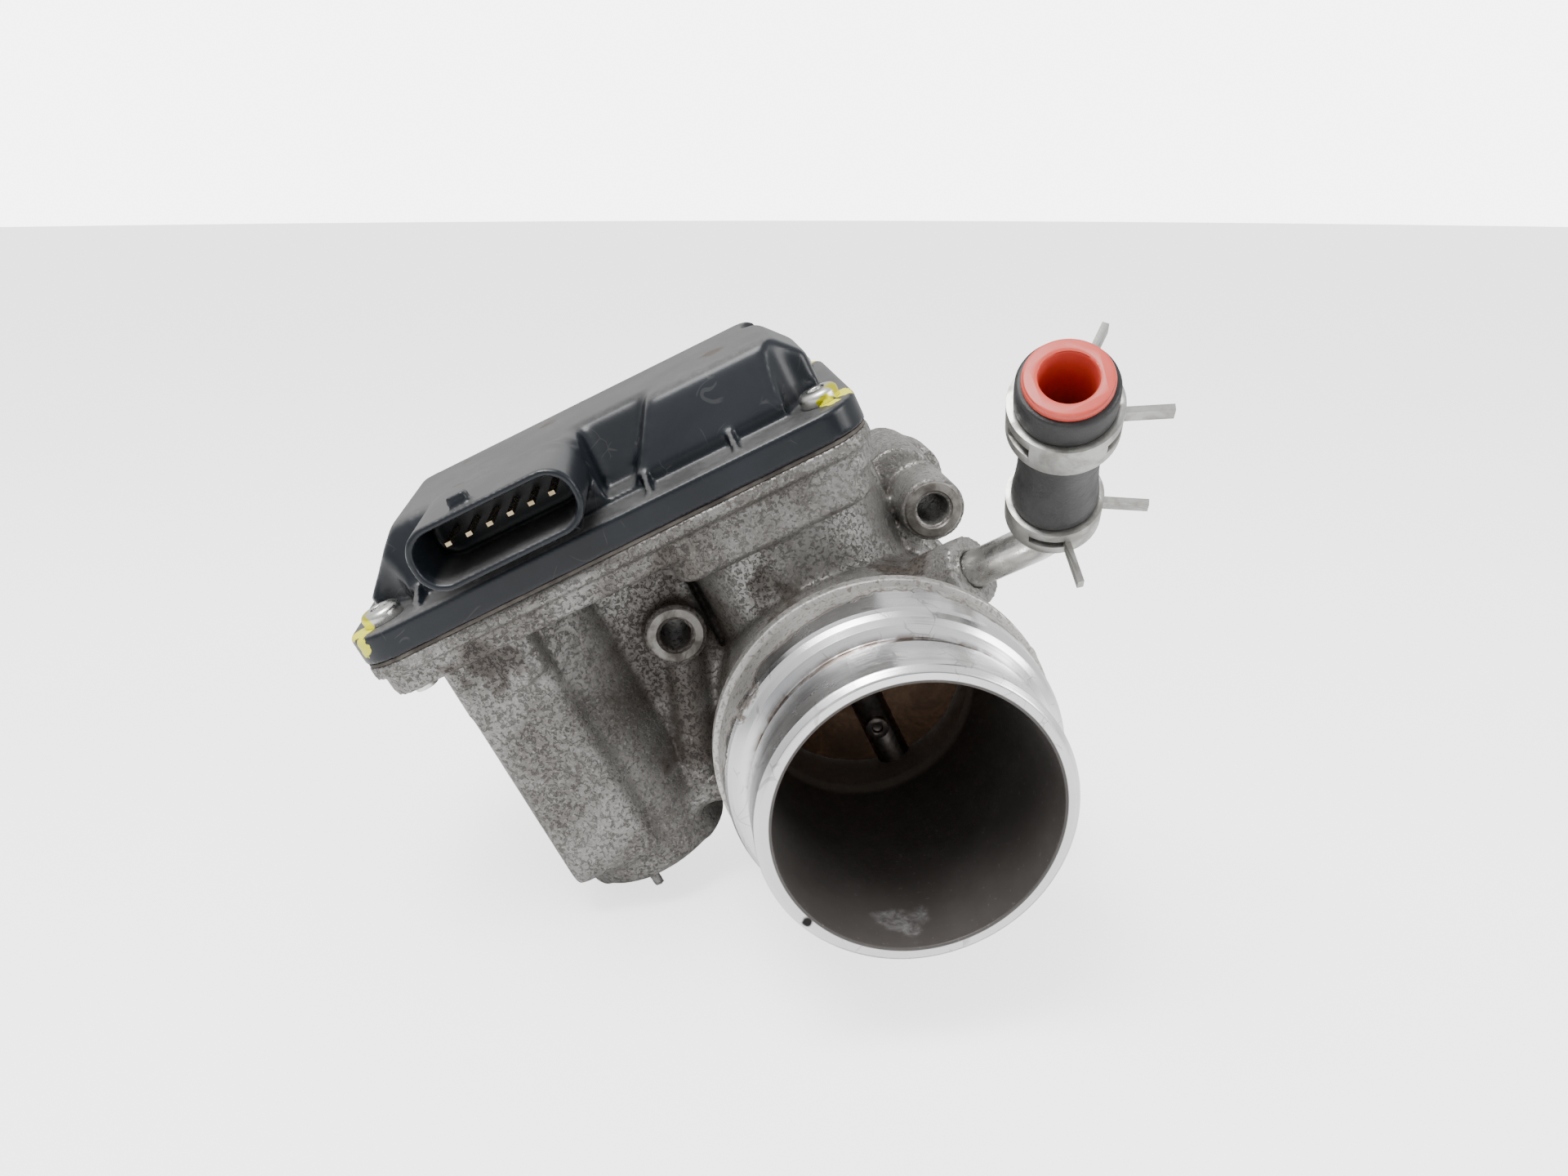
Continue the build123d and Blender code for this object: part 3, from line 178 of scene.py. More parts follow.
class GroupMaker:
    """Builds the shader groups that several finishes share."""

    def __init__(self) -> None:
        """Nothing is built until it is asked for."""
        self.made: dict[str, bpy.types.NodeTree] = {}

    def tree(self, name: str, inputs: Iterable[tuple[str, str, Any]], outputs: Iterable[str]) -> tuple:
        """Open a new group.

        Args:
            name: Group name.
            inputs: Name, socket kind and default of each input.
            outputs: Names of the float outputs.

        Returns:
            The graph, its input node and its output node.
        """
        tree = bpy.data.node_groups.new(name, "ShaderNodeTree")
        for label, kind, default in inputs:
            socket = tree.interface.new_socket(label, in_out="INPUT", socket_type="NodeSocket" + kind)
            if default is not None:
                socket.default_value = default
        for label in outputs:
            tree.interface.new_socket(label, in_out="OUTPUT", socket_type="NodeSocketFloat")
        self.made[name] = tree
        return Graph(tree), tree.nodes.new("NodeGroupInput"), tree.nodes.new("NodeGroupOutput")

    def get(self, name: str) -> bpy.types.NodeTree:
        """The group of that name, built the first time."""
        if name not in self.made:
            getattr(self, "make_" + name)(name)
        return self.made[name]

    def make_mottle(self, name: str) -> None:
        """Soft patches between a low and a high threshold."""
        g, source, sink = self.tree(
            name,
            [("Vector", "Vector", None), ("Scale", "Float", 100.0), ("Detail", "Float", 4.0),
             ("Low", "Float", 0.4), ("High", "Float", 0.6), ("Warp", "Float", 0.0)],
            ["Mask"],
        )
        noise = g.add("TexNoise", None, Vector=source.outputs["Vector"], Scale=source.outputs["Scale"],
                      Detail=source.outputs["Detail"], Roughness=0.62, Distortion=source.outputs["Warp"])
        g.feed(sink.inputs["Mask"], g.ramp(noise.outputs[0], source.outputs["Low"], source.outputs["High"]))

    def make_cast_skin(self, name: str) -> None:
        """Sandy skin of a casting: a height and a mask of its dark pits."""
        g, source, sink = self.tree(
            name, [("Vector", "Vector", None), ("Scale", "Float", 1.0)], ["Height", "Pits"])
        fine_scale = g.times(source.outputs["Scale"], 2600.0)
        broad_scale = g.times(source.outputs["Scale"], 1050.0)
        fine = g.add("TexNoise", None, Vector=source.outputs["Vector"], Scale=fine_scale, Detail=3.0)
        broad = g.add("TexNoise", None, Vector=source.outputs["Vector"], Scale=broad_scale, Detail=4.0,
                      Roughness=0.7, Distortion=0.6)
        pits = g.ramp(broad.outputs[0], 0.50, 0.60)
        rough = g.times(fine.outputs[0], 0.35)
        height = g.minus(g.plus(rough, 0.6), g.times(pits, 0.5))
        g.feed(sink.inputs["Height"], height)
        g.feed(sink.inputs["Pits"], pits)

    def make_rings(self, name: str) -> None:
        """Fine turned rings round the bore's axis."""
        g, source, sink = self.tree(
            name, [("Vector", "Vector", None), ("Pitch", "Float", 6000.0)], ["Height", "Tone"])
        parts = g.add("SeparateXYZ", None, Vector=source.outputs["Vector"])
        along = g.times(parts.outputs["Y"], source.outputs["Pitch"])
        across = g.times(parts.outputs["X"], 14.0)
        upward = g.times(parts.outputs["Z"], 14.0)
        stretched = g.add("CombineXYZ", None, X=across, Y=along, Z=upward)
        lines = g.add("TexNoise", None, Vector=stretched.outputs[0], Scale=1.0, Detail=2.0)
        wide = g.add("VectorMath", {"operation": "MULTIPLY"})
        g.feed(wide.inputs[0], stretched.outputs[0])
        wide.inputs[1].default_value = (1.0, 0.12, 1.0)
        bands = g.add("TexNoise", None, Vector=wide.outputs[0], Scale=1.0, Detail=1.0)
        g.feed(sink.inputs["Height"], lines.outputs[0])
        g.feed(sink.inputs["Tone"], bands.outputs[0])

    def make_scratches(self, name: str) -> None:
        """Thin scattered scratches."""
        g, source, sink = self.tree(
            name, [("Vector", "Vector", None), ("Scale", "Float", 90.0), ("Width", "Float", 0.03)], ["Mask"])
        warp = g.add("TexNoise", None, Vector=source.outputs["Vector"], Scale=45.0, Detail=2.0)
        shift = g.add("VectorMath", {"operation": "SCALE"}, Scale=0.03)
        g.feed(shift.inputs[0], warp.outputs["Color"])
        moved = g.add("VectorMath", {"operation": "ADD"})
        g.feed(moved.inputs[0], source.outputs["Vector"])
        g.feed(moved.inputs[1], shift.outputs[0])
        cells = g.add("TexVoronoi", {"feature": "DISTANCE_TO_EDGE"}, Vector=moved.outputs[0],
                      Scale=source.outputs["Scale"])
        line = g.math("LESS_THAN", cells.outputs["Distance"], source.outputs["Width"])
        patch = g.add("TexNoise", None, Vector=source.outputs["Vector"], Scale=150.0, Detail=1.0)
        g.feed(sink.inputs["Mask"], g.times(line, g.ramp(patch.outputs[0], 0.55, 0.62)))

    def make_patch(self, name: str) -> None:
        """Ragged blot round a centre."""
        g, source, sink = self.tree(
            name,
            [("Vector", "Vector", None), ("Centre", "Vector", None), ("Radius", "Float", 0.01),
             ("Ragged", "Float", 0.006)],
            ["Mask"],
        )
        apart = g.add("VectorMath", {"operation": "DISTANCE"})
        g.feed(apart.inputs[0], source.outputs["Vector"])
        g.feed(apart.inputs[1], source.outputs["Centre"])
        noise = g.add("TexNoise", None, Vector=source.outputs["Vector"], Scale=160.0, Detail=5.0)
        offset = g.times(g.minus(noise.outputs[0], 0.5), source.outputs["Ragged"])
        reach = g.plus(apart.outputs["Value"], g.times(offset, 4.0))
        share = g.math("DIVIDE", reach, source.outputs["Radius"])
        g.feed(sink.inputs["Mask"], g.ramp(share, 1.0, 0.35))


GROUPS = GroupMaker()


class Material:
    """One Principled material with Object coordinates ready to use."""

    def __init__(self, name: str, roughness: float, metallic: float) -> None:
        """Make the material.

        Args:
            name: Material name.
            roughness: Roughness where nothing is linked to it.
            metallic: Metallic where nothing is linked to it.
        """
        self.data = bpy.data.materials.new(name)
        self.data.use_nodes = True
        self.graph = Graph(self.data.node_tree)
        self.shader = self.data.node_tree.nodes["Principled BSDF"]
        self.shader.inputs["Roughness"].default_value = roughness
        self.shader.inputs["Metallic"].default_value = metallic
        self.where = self.graph.add("TexCoord").outputs["Object"]

    def group(self, name: str, output: str = "Mask", **inputs: Any) -> bpy.types.NodeSocket:
        """Place a shared group and return one of its outputs."""
        node = self.graph.tree.nodes.new("ShaderNodeGroup")
        node.node_tree = GROUPS.get(name)
        self.graph.feed(node.inputs["Vector"], self.where)
        for label, value in inputs.items():
            self.graph.feed(node.inputs[label.replace("_", " ")], value)
        return node.outputs[output]

    def colour(self, value: Any) -> "Material":
        """Feed Base Color."""
        self.graph.feed(self.shader.inputs["Base Color"], value)
        return self

    def rough(self, value: Any) -> "Material":
        """Feed Roughness."""
        self.graph.feed(self.shader.inputs["Roughness"], value)
        return self

    def metal(self, value: Any) -> "Material":
        """Feed Metallic."""
        self.graph.feed(self.shader.inputs["Metallic"], value)
        return self

    def bump(self, height: Any, strength: float, depth_mm: float) -> "Material":
        """Feed Normal through a Bump node."""
        node = self.graph.add("Bump", None, Height=height)
        node.inputs["Strength"].default_value = strength
        node.inputs["Distance"].default_value = depth_mm * MM
        self.graph.feed(self.shader.inputs["Normal"], node.outputs[0])
        return self

    def facing(self, direction: Vector) -> bpy.types.NodeSocket:
        """How far the surface faces a fixed direction, from -1 to 1."""
        normal = self.graph.add("NewGeometry").outputs["Normal"]
        product = self.graph.add("VectorMath", {"operation": "DOT_PRODUCT"})
        self.graph.feed(product.inputs[0], normal)
        product.inputs[1].default_value = tuple(direction)
        return product.outputs["Value"]


# ---- finishes -----------------------------------------------------------------------
@dataclass(frozen=True)
class CastAluminium:
    """Sandy grey casting, darkened brown in its hollows with stains and painted shade."""

    pale: Colour = rgb(0.27, 0.262, 0.25)
    middle: Colour = rgb(0.155, 0.147, 0.136)
    flake: Colour = rgb(0.075, 0.067, 0.06)
    # brown of stains and painted shade in recesses and creases
    stain_and_shade_brown: Colour = rgb(0.060, 0.047, 0.038)
    # near black at the cores of the recess spots: stain and painted shade
    soot: Colour = rgb(0.014, 0.011, 0.010)
    bare: Colour = rgb(0.46, 0.45, 0.44)
    # spots over the recesses round the bosses and under the cover's skirt: stains and painted shade
    stain_and_shade_spots: tuple = (
        ((-33.0, -40.0, 27.0), 24.0), ((-27.0, -46.0, 45.0), 20.0), ((-66.0, -52.0, 47.0), 10.0),
        ((-36.0, -42.0, 6.0), 15.0), ((-10.0, -56.0, 33.0), 13.0), ((-60.0, -20.0, -18.0), 15.0),
        ((20.0, -50.0, 26.0), 9.0), ((0.0, -20.0, -40.0), 18.0),
    )

    def make(self, name: str) -> bpy.types.Material:
        """Build the material under a name."""
        m = Material(name, 0.55, 0.6)
        g = m.graph
        pits = m.group("cast_skin", "Pits", Scale=1.0)
        height = m.group("cast_skin", "Height", Scale=1.0)
        cloud = m.group("mottle", Scale=60.0, Detail=7.0, Low=0.36, High=0.64, Warp=0.7)
        crowd = m.group("mottle", Scale=105.0, Detail=4.0, Low=0.35, High=0.62, Warp=0.4)
        fleck = m.group("mottle", Scale=1500.0, Detail=4.0, Low=0.54, High=0.64, Warp=0.3)
        colour = g.blend(cloud, self.pale, self.middle)
        colour = g.blend(g.times(pits, g.plus(0.22, g.times(crowd, 0.42))), colour, self.flake)
        colour = g.blend(g.times(fleck, 0.35), colour, self.bare)
        # darken the recess spots brown, near black at their cores: stain and painted shade
        stain_and_shade: Any = 0.0
        for centre, radius in self.stain_and_shade_spots:
            patch = m.group("patch", Centre=tuple(upright(*centre)), Radius=radius * MM, Ragged=0.006)
            stain_and_shade = g.math("MAXIMUM", stain_and_shade, patch)
        stain_and_shade_mask = g.ramp(g.plus(stain_and_shade, g.times(crowd, 0.35)), 0.35, 1.3)
        colour = g.blend(g.times(stain_and_shade_mask, 0.92), colour, self.stain_and_shade_brown)
        deep_stain_and_shade = g.ramp(g.plus(stain_and_shade, g.times(pits, 0.4)), 1.0, 1.5)
        colour = g.blend(g.times(deep_stain_and_shade, 0.7), colour, self.soot)
        bend = g.add("NewGeometry").outputs["Pointiness"]
        # low pointiness darkens creases brown: crease stain and painted crease shade
        colour = g.blend(g.times(g.ramp(bend, 0.488, 0.42), 0.85), colour, self.stain_and_shade_brown)
        colour = g.blend(g.times(g.ramp(bend, 0.535, 0.60), 0.55), colour, self.bare)
        m.colour(colour)
        m.rough(g.plus(0.40, g.times(pits, 0.25)))
        m.metal(g.minus(0.7, g.times(stain_and_shade_mask, 0.6)))
        m.bump(height, 1.0, 0.30)
        return m.data


@dataclass(frozen=True)
class TurnedAluminium:
    """Bright turned inlet, sooty inside, stained in its groove, with a painted shadow line where it meets
    the cast flange.
    """

    bright: Colour = rgb(0.91, 0.91, 0.92)
    dull: Colour = rgb(0.66, 0.66, 0.67)
    # dirt of scratches and groove, also the painted shadow line behind the collar
    dirt_and_shadow: Colour = rgb(0.16, 0.13, 0.11)
    soot: Colour = rgb(0.056, 0.050, 0.047)
    dust: Colour = rgb(0.14, 0.13, 0.125)
    throat: Colour = rgb(0.20, 0.165, 0.135)
    cast_pale: Colour = rgb(0.52, 0.51, 0.49)
    cast_pit: Colour = rgb(0.20, 0.17, 0.15)
    lint: Colour = rgb(0.55, 0.55, 0.55)
    nick: Colour = rgb(0.02, 0.018, 0.018)
    throat_from: tuple = (-41.0, -38.6)
    rim_y: float = -97.0
    bore_mark: float = 27.4
    groove: tuple = (-85.2, -80.6)
    cast_from: float = -69.0
    nick_place: tuple = (-20.2, -19.6)
    lint_place: tuple = (-12.0, -88.0, -23.4)

    def make(self, name: str) -> bpy.types.Material:
        """Build the material under a name."""
        m = Material(name, 0.25, 1.0)
        g = m.graph
        parts = g.add("SeparateXYZ", None, Vector=m.where)
        x_side, along, z_side = (parts.outputs[axis] for axis in "XYZ")
        radius = g.math("SQRT", g.plus(g.math("POWER", x_side, 2.0), g.math("POWER", z_side, 2.0)))
        inside = g.ramp(radius, (self.bore_mark + 0.12) * MM, (self.bore_mark - 0.12) * MM)
        tone = m.group("rings", "Tone", Pitch=2600.0)
        lines = m.group("rings", "Height", Pitch=9000.0)
        cloud = m.group("mottle", Scale=55.0, Detail=5.0, Low=0.42, High=0.62, Warp=0.4)
        colour = g.blend(g.ramp(tone, 0.35, 0.65), self.bright, self.dull)
        colour = g.blend(g.times(cloud, 0.35), colour, self.dull)
        scratch = m.group("scratches", Scale=140.0, Width=0.02)
        colour = g.blend(g.times(scratch, 0.35), colour, self.dirt_and_shadow)
        low, high = self.groove
        in_groove = g.times(g.ramp(along, (low - 0.2) * MM, (low + 0.3) * MM),
                           g.ramp(along, high * MM, (high - 0.8) * MM))
        spots = m.group("mottle", Scale=260.0, Detail=5.0, Low=0.40, High=0.56, Warp=0.6)
        colour = g.blend(g.times(in_groove, g.plus(0.55, g.times(spots, 0.45))), colour, self.dirt_and_shadow)
        ragged = m.group("mottle", Scale=75.0, Detail=5.0, Low=0.3, High=0.7, Warp=0.5)
        edge = g.plus(along, g.times(ragged, 0.007))
        left = g.ramp(x_side, 0.006, -0.020)
        reach = g.plus(edge, g.times(left, 0.006))
        skin = g.ramp(reach, (self.cast_from + 2.2) * MM, (self.cast_from + 2.9) * MM)
        pits = m.group("cast_skin", "Pits", Scale=1.0)
        cast_tone = g.blend(g.times(pits, 0.7), self.cast_pale, self.cast_pit)
        colour = g.blend(skin, colour, cast_tone)
        # dark band where the collar steps down to the cast flange: painted shadow line
        collar_shadow_fade = g.ramp(reach, (self.cast_from + 4.2) * MM, (self.cast_from + 2.9) * MM)
        collar_shadow_line = g.times(skin, collar_shadow_fade)
        colour = g.blend(g.times(collar_shadow_line, 0.75), colour, self.dirt_and_shadow)
        film = m.group("mottle", Scale=38.0, Detail=4.0, Low=0.35, High=0.75, Warp=0.3)
        specks = m.group("mottle", Scale=900.0, Detail=2.0, Low=0.66, High=0.72, Warp=0.0)
        black = g.blend(g.times(film, 0.28), self.soot, self.dust)
        black = g.blend(g.times(specks, 0.5), black, self.dust)
        ring = g.ramp(along, self.throat_from[0] * MM, self.throat_from[1] * MM)
        black = g.blend(g.times(ring, 0.8), black, self.throat)
        lint = m.group("patch", Centre=tuple(upright(*self.lint_place)), Radius=0.0056, Ragged=0.004)
        fibres = m.group("mottle", Scale=420.0, Detail=6.0, Low=0.30, High=0.80, Warp=0.9)
        black = g.blend(g.times(g.times(lint, fibres), 0.38), black, self.lint)
        nick = m.group("patch", Centre=(self.nick_place[0] * MM, self.rim_y * MM, self.nick_place[1] * MM),
                       Radius=0.0011, Ragged=0.0010)
        colour = g.blend(nick, colour, self.nick)
        m.colour(g.blend(inside, colour, black))
        outer_rough = g.plus(g.plus(0.20, g.times(cloud, 0.08)), g.times(skin, 0.3))
        m.rough(g.plus(g.times(outer_rough, g.minus(1.0, inside)), g.times(inside, 0.52)))
        m.metal(g.minus(1.0, g.times(inside, 0.8)))
        height = g.plus(g.times(lines, g.minus(1.0, skin)),
                        g.times(m.group("cast_skin", "Height", Scale=1.0), g.times(skin, 6.0)))
        m.bump(height, 0.35, 0.05)
        return m.data


YELLOW_PAINT = rgb(0.72, 0.70, 0.015)
SINGED = rgb(0.045, 0.028, 0.018)


def painted(m: Material, colour: Any, spots: tuple) -> Any:
    """Add yellow assembly paint to a colour.

    Args:
        m: Material that gets the paint.
        colour: Colour under the paint.
        spots: Centre, with the shaft upright, and radius of each dab, in millimetres.

    Returns:
        The painted colour.
    """
    for centre, radius in spots:
        dab = m.group("patch", Centre=tuple(upright(*centre)), Radius=radius * MM, Ragged=0.0022)
        solid = m.graph.ramp(dab, 0.25, 0.45)
        colour = m.graph.blend(solid, colour, YELLOW_PAINT)
    return colour


@dataclass(frozen=True)
class MouldedPlastic:
    """Satin moulded plastic, lighter where it faces up with dust and painted sheen."""

    base: Colour
    pale: Colour
    # tone of dust and painted sheen on up-facing faces, also of scuffs
    dust: Colour = rgb(0.20, 0.19, 0.18)
    dust_and_sheen_share: float = 0.7
    roughness: float = 0.34
    grain: float = 0.05
    specular: float = 0.5
    scuffs: float = 0.0
    paint: tuple = ()
    burns: tuple = ()

    def make(self, name: str) -> bpy.types.Material:
        """Build the material under a name."""
        m = Material(name, self.roughness, 0.0)
        g = m.graph
        cloud = m.group("mottle", Scale=48.0, Detail=5.0, Low=0.35, High=0.65, Warp=0.4)
        fine = m.group("mottle", Scale=650.0, Detail=3.0, Low=0.35, High=0.7, Warp=0.0)
        colour = g.blend(g.times(cloud, 0.6), self.base, self.pale)
        # lighten faces that point up: dust and painted sheen
        up = g.ramp(m.facing(SHAFT_UP), 0.55, 0.96)
        film = g.times(up, g.plus(0.45, g.times(cloud, 0.4)))
        film = g.times(film, g.plus(0.7, g.times(fine, 0.3)))
        colour = g.blend(g.times(film, self.dust_and_sheen_share), colour, self.dust)
        m.shader.inputs["Specular IOR Level"].default_value = self.specular
        if self.scuffs:
            scuff = m.group("scratches", Scale=110.0, Width=0.010)
            colour = g.blend(g.times(scuff, self.scuffs), colour, self.dust)
        for centre, radius in self.burns:
            burn = m.group("patch", Centre=tuple(upright(*centre)), Radius=radius * MM, Ragged=0.0025)
            colour = g.blend(g.times(burn, 0.9), colour, SINGED)
        colour = painted(m, colour, self.paint)
        m.colour(colour)
        m.rough(g.plus(self.roughness, g.times(film, 0.3)))
        m.bump(fine, self.grain, 0.1)
        return m.data


@dataclass(frozen=True)
class Steel:
    """Plain steel with a drawn or plated skin and a few stains."""

    base: Colour
    stained: Colour
    roughness: float = 0.3
    stain_share: float = 0.5
    metallic: float = 1.0
    paint: tuple = ()

    def make(self, name: str) -> bpy.types.Material:
        """Build the material under a name."""
        m = Material(name, self.roughness, self.metallic)
        g = m.graph
        cloud = m.group("mottle", Scale=190.0, Detail=5.0, Low=0.38, High=0.66, Warp=0.5)
        fine = m.group("mottle", Scale=1500.0, Detail=3.0, Low=0.3, High=0.7, Warp=0.0)
        colour = g.blend(g.times(cloud, self.stain_share), self.base, self.stained)
        colour = g.blend(g.times(fine, 0.12), colour, self.stained)
        m.colour(painted(m, colour, self.paint))
        m.rough(g.plus(self.roughness, g.times(cloud, 0.16)))
        m.bump(fine, 0.15, 0.05)
        return m.data


@dataclass(frozen=True)
class Rubber:
    """Black rubber, chalky where it is handled."""

    base: Colour = rgb(0.007, 0.007, 0.008)
    chalk: Colour = rgb(0.035, 0.034, 0.033)
    roughness: float = 0.48

    def make(self, name: str) -> bpy.types.Material:
        """Build the material under a name."""
        m = Material(name, self.roughness, 0.0)
        g = m.graph
        cloud = m.group("mottle", Scale=110.0, Detail=6.0, Low=0.40, High=0.66, Warp=0.5)
        fine = m.group("mottle", Scale=1300.0, Detail=3.0, Low=0.3, High=0.7, Warp=0.0)
        colour = g.blend(g.times(cloud, 0.8), self.base, self.chalk)
        m.colour(colour)
        m.rough(g.plus(self.roughness, g.times(cloud, 0.2)))
        m.bump(fine, 0.25, 0.12)
        return m.data


@dataclass(frozen=True)
class WornBrass:
    """Brown lacquered or tarnished copper alloy."""

    base: Colour = rgb(0.52, 0.33, 0.21)
    dark: Colour = rgb(0.20, 0.13, 0.09)
    roughness: float = 0.42

    def make(self, name: str) -> bpy.types.Material:
        """Build the material under a name."""
        m = Material(name, self.roughness, 0.75)
        g = m.graph
        cloud = m.group("mottle", Scale=85.0, Detail=6.0, Low=0.36, High=0.68, Warp=0.7)
        fine = m.group("mottle", Scale=700.0, Detail=4.0, Low=0.45, High=0.62, Warp=0.0)
        colour = g.blend(g.times(cloud, 0.75), self.base, self.dark)
        colour = g.blend(g.times(fine, 0.25), colour, self.dark)
        m.colour(colour)
        m.rough(g.plus(self.roughness, g.times(cloud, 0.2)))
        m.bump(fine, 0.2, 0.06)
        return m.data


class Slot(Enum):
    """Finishes: the record's material slots, then three of the scene's own."""

    CAST = "cast_aluminium"
    COVER = "black_cover"
    GASKET = "gasket_rubber"
    SEAL = "seal_rubber"
    HOSE = "hose_rubber"
    PLATED = "plated_steel"
    SHAFT = "shaft_steel"
    SPRING = "spring_steel"
    CLAMP = "clamp_steel"
    TERMINAL = "terminal_tin"
    BOARD = "sensor_board"
    PLATE = "plate_brass"
    BUSH = "bush_bronze"
    WINDING = "winding_copper"
    MAGNET = "magnet_ferrite"
    BRUSH = "brush_carbon"
    GEAR = "gear_plastic"
    PLUG = "plug_plastic"
    SCREWS = "painted_screws"
    MACHINED = "machined_faces"
    TURNED = "turned_aluminium"


PAINT_DABS = (
    ((-84.2, -49.6, 66.0), 3.6), ((-84.6, -53.6, 62.6), 2.6),
    ((22.4, -46.4, 65.6), 4.4), ((20.2, -49.6, 64.6), 3.0), ((22.6, -1.0, 65.0), 4.0),
)
BURN_MARKS = (
    ((-58.7, -8.3, 80.5), 1.9), ((-56.3, -36.1, 80.5), 1.9), ((-38.5, -11.1, 80.5), 2.4),
    ((1.8, -24.4, 80.5), 4.0),
)
FINISHES: dict[Slot, Any] = {
    Slot.CAST: CastAluminium(),
    # the cover's grey on up-facing faces: dust and painted sheen
    Slot.COVER: MouldedPlastic(rgb(0.006, 0.008, 0.011), rgb(0.012, 0.015, 0.020), rgb(0.15, 0.145, 0.14),
                               0.75, 0.30, 0.04, 0.35, 0.12, PAINT_DABS, BURN_MARKS),
    Slot.GASKET: Rubber(rgb(0.035, 0.028, 0.022), rgb(0.13, 0.115, 0.10), 0.7),
    Slot.SEAL: Rubber(),
    Slot.HOSE: Rubber(),
    Slot.PLATED: Steel(rgb(0.74, 0.74, 0.73), rgb(0.45, 0.43, 0.39), 0.22, 0.4),
    Slot.SHAFT: Steel(rgb(0.30, 0.27, 0.25), rgb(0.10, 0.08, 0.07), 0.3, 0.8),
    Slot.SPRING: Steel(rgb(0.42, 0.42, 0.44), rgb(0.25, 0.24, 0.24), 0.3, 0.4),
    Slot.CLAMP: Steel(rgb(0.46, 0.46, 0.44), rgb(0.22, 0.21, 0.19), 0.38, 0.75),
    Slot.TERMINAL: Steel(rgb(0.62, 0.50, 0.30), rgb(0.42, 0.33, 0.2), 0.25, 0.5),
    Slot.BOARD: MouldedPlastic(rgb(0.01, 0.08, 0.03), rgb(0.02, 0.12, 0.05)),
    Slot.PLATE: WornBrass(),
    Slot.BUSH: WornBrass(rgb(0.55, 0.38, 0.20), rgb(0.28, 0.18, 0.1), 0.35),
    Slot.WINDING: WornBrass(rgb(0.62, 0.24, 0.10), rgb(0.3, 0.1, 0.05), 0.3),
    Slot.MAGNET: Steel(rgb(0.08, 0.08, 0.085), rgb(0.04, 0.04, 0.04), 0.5, 0.5, 0.4),
    Slot.BRUSH: Rubber(rgb(0.02, 0.02, 0.02), rgb(0.06, 0.06, 0.06), 0.6),
    Slot.GEAR: MouldedPlastic(rgb(0.62, 0.58, 0.48), rgb(0.7, 0.66, 0.56), dust_and_sheen_share=0.1),
    # the plug's lighter red on up-facing faces: painted sheen
    Slot.PLUG: MouldedPlastic(rgb(0.52, 0.055, 0.036), rgb(0.60, 0.085, 0.06), rgb(0.62, 0.16, 0.13),
                              0.25, 0.36),
    Slot.SCREWS: Steel(rgb(0.70, 0.70, 0.68), rgb(0.42, 0.40, 0.36), 0.24, 0.5, 1.0, PAINT_DABS),
    Slot.MACHINED: Steel(rgb(0.25, 0.24, 0.225), rgb(0.09, 0.08, 0.07), 0.46, 0.9),
    Slot.TURNED: TurnedAluminium(),
}
MADE: dict[Slot, bpy.types.Material] = {}


def finish(slot: Slot) -> bpy.types.Material:
    """The slot's material, built once."""
    if slot not in MADE:
        MADE[slot] = FINISHES[slot].make(slot.value)
    return MADE[slot]


# ---- mesh tools ---------------------------------------------------------------------
def wear(piece: bpy.types.Object, material: bpy.types.Material) -> None:
    """Give a piece one material."""
    piece.data.materials.clear()
    piece.data.materials.append(material)


def new_piece(name: str, bm: bmesh.types.BMesh, material: bpy.types.Material) -> bpy.types.Object:
    """Turn a bmesh into a linked object at the origin.

    Args:
        name: Piece name.
        bm: Finished geometry, freed here.
        material: The piece's material.

    Returns:
        The new object.
    """
    mesh = bpy.data.meshes.new(name)
    bm.to_mesh(mesh)
    bm.free()
    piece = bpy.data.objects.new(name, mesh)
    bpy.context.scene.collection.objects.link(piece)
    wear(piece, material)
    return piece


def spun(name: str, outline: Iterable[tuple], axis: tuple, steps: int, slot: Slot,
         place: Matrix | None = None) -> bpy.types.Object:
    """Turn a closed outline a full circle round an axis.

    Args:
        name: Piece name.
        outline: Corners in millimetres, on one side of the axis.
        axis: Direction of the axis, which runs through the origin.
        steps: Steps of the full circle.
        slot: The piece's finish.
        place: Where the spun ring goes, if it doesn't stay at the origin.

    Returns:
        The new piece.
    """
    bm = bmesh.new()
    corners = [bm.verts.new(Vector(corner) * MM) for corner in outline]
    for first, second in zip(corners, corners[1:] + corners[:1]):
        bm.edges.new((first, second))
    bmesh.ops.spin(bm, geom=bm.verts[:] + bm.edges[:], cent=(0.0, 0.0, 0.0), axis=axis,
                   angle=math.tau, steps=steps, use_merge=True)
    bmesh.ops.remove_doubles(bm, verts=bm.verts, dist=WELD_MM * MM)
    bmesh.ops.recalc_face_normals(bm, faces=bm.faces)
    if place is not None:
        bmesh.ops.transform(bm, matrix=place, verts=bm.verts)
    return new_piece(name, bm, finish(slot))


def shade(piece: bpy.types.Object, angle_deg: float) -> None:
    """Smooth shading that keeps edges sharper than an angle."""
    piece.data.shade_smooth()
    piece.data.set_sharp_from_angle(angle=math.radians(angle_deg))


def applied(piece: bpy.types.Object, kind: str, **settings: Any) -> None:
    """Add a modifier and apply it.

    Args:
        piece: Object to change.
        kind: Modifier type.
        **settings: Modifier properties.
    """
    modifier = piece.modifiers.new(kind.lower(), kind)
    for name, value in settings.items():
        setattr(modifier, name, value)
    bpy.context.view_layer.update()
    mesh = bpy.data.meshes.new_from_object(piece.evaluated_get(bpy.context.evaluated_depsgraph_get()))
    piece.modifiers.clear()
    old = piece.data
    piece.data = mesh
    bpy.data.meshes.remove(old)


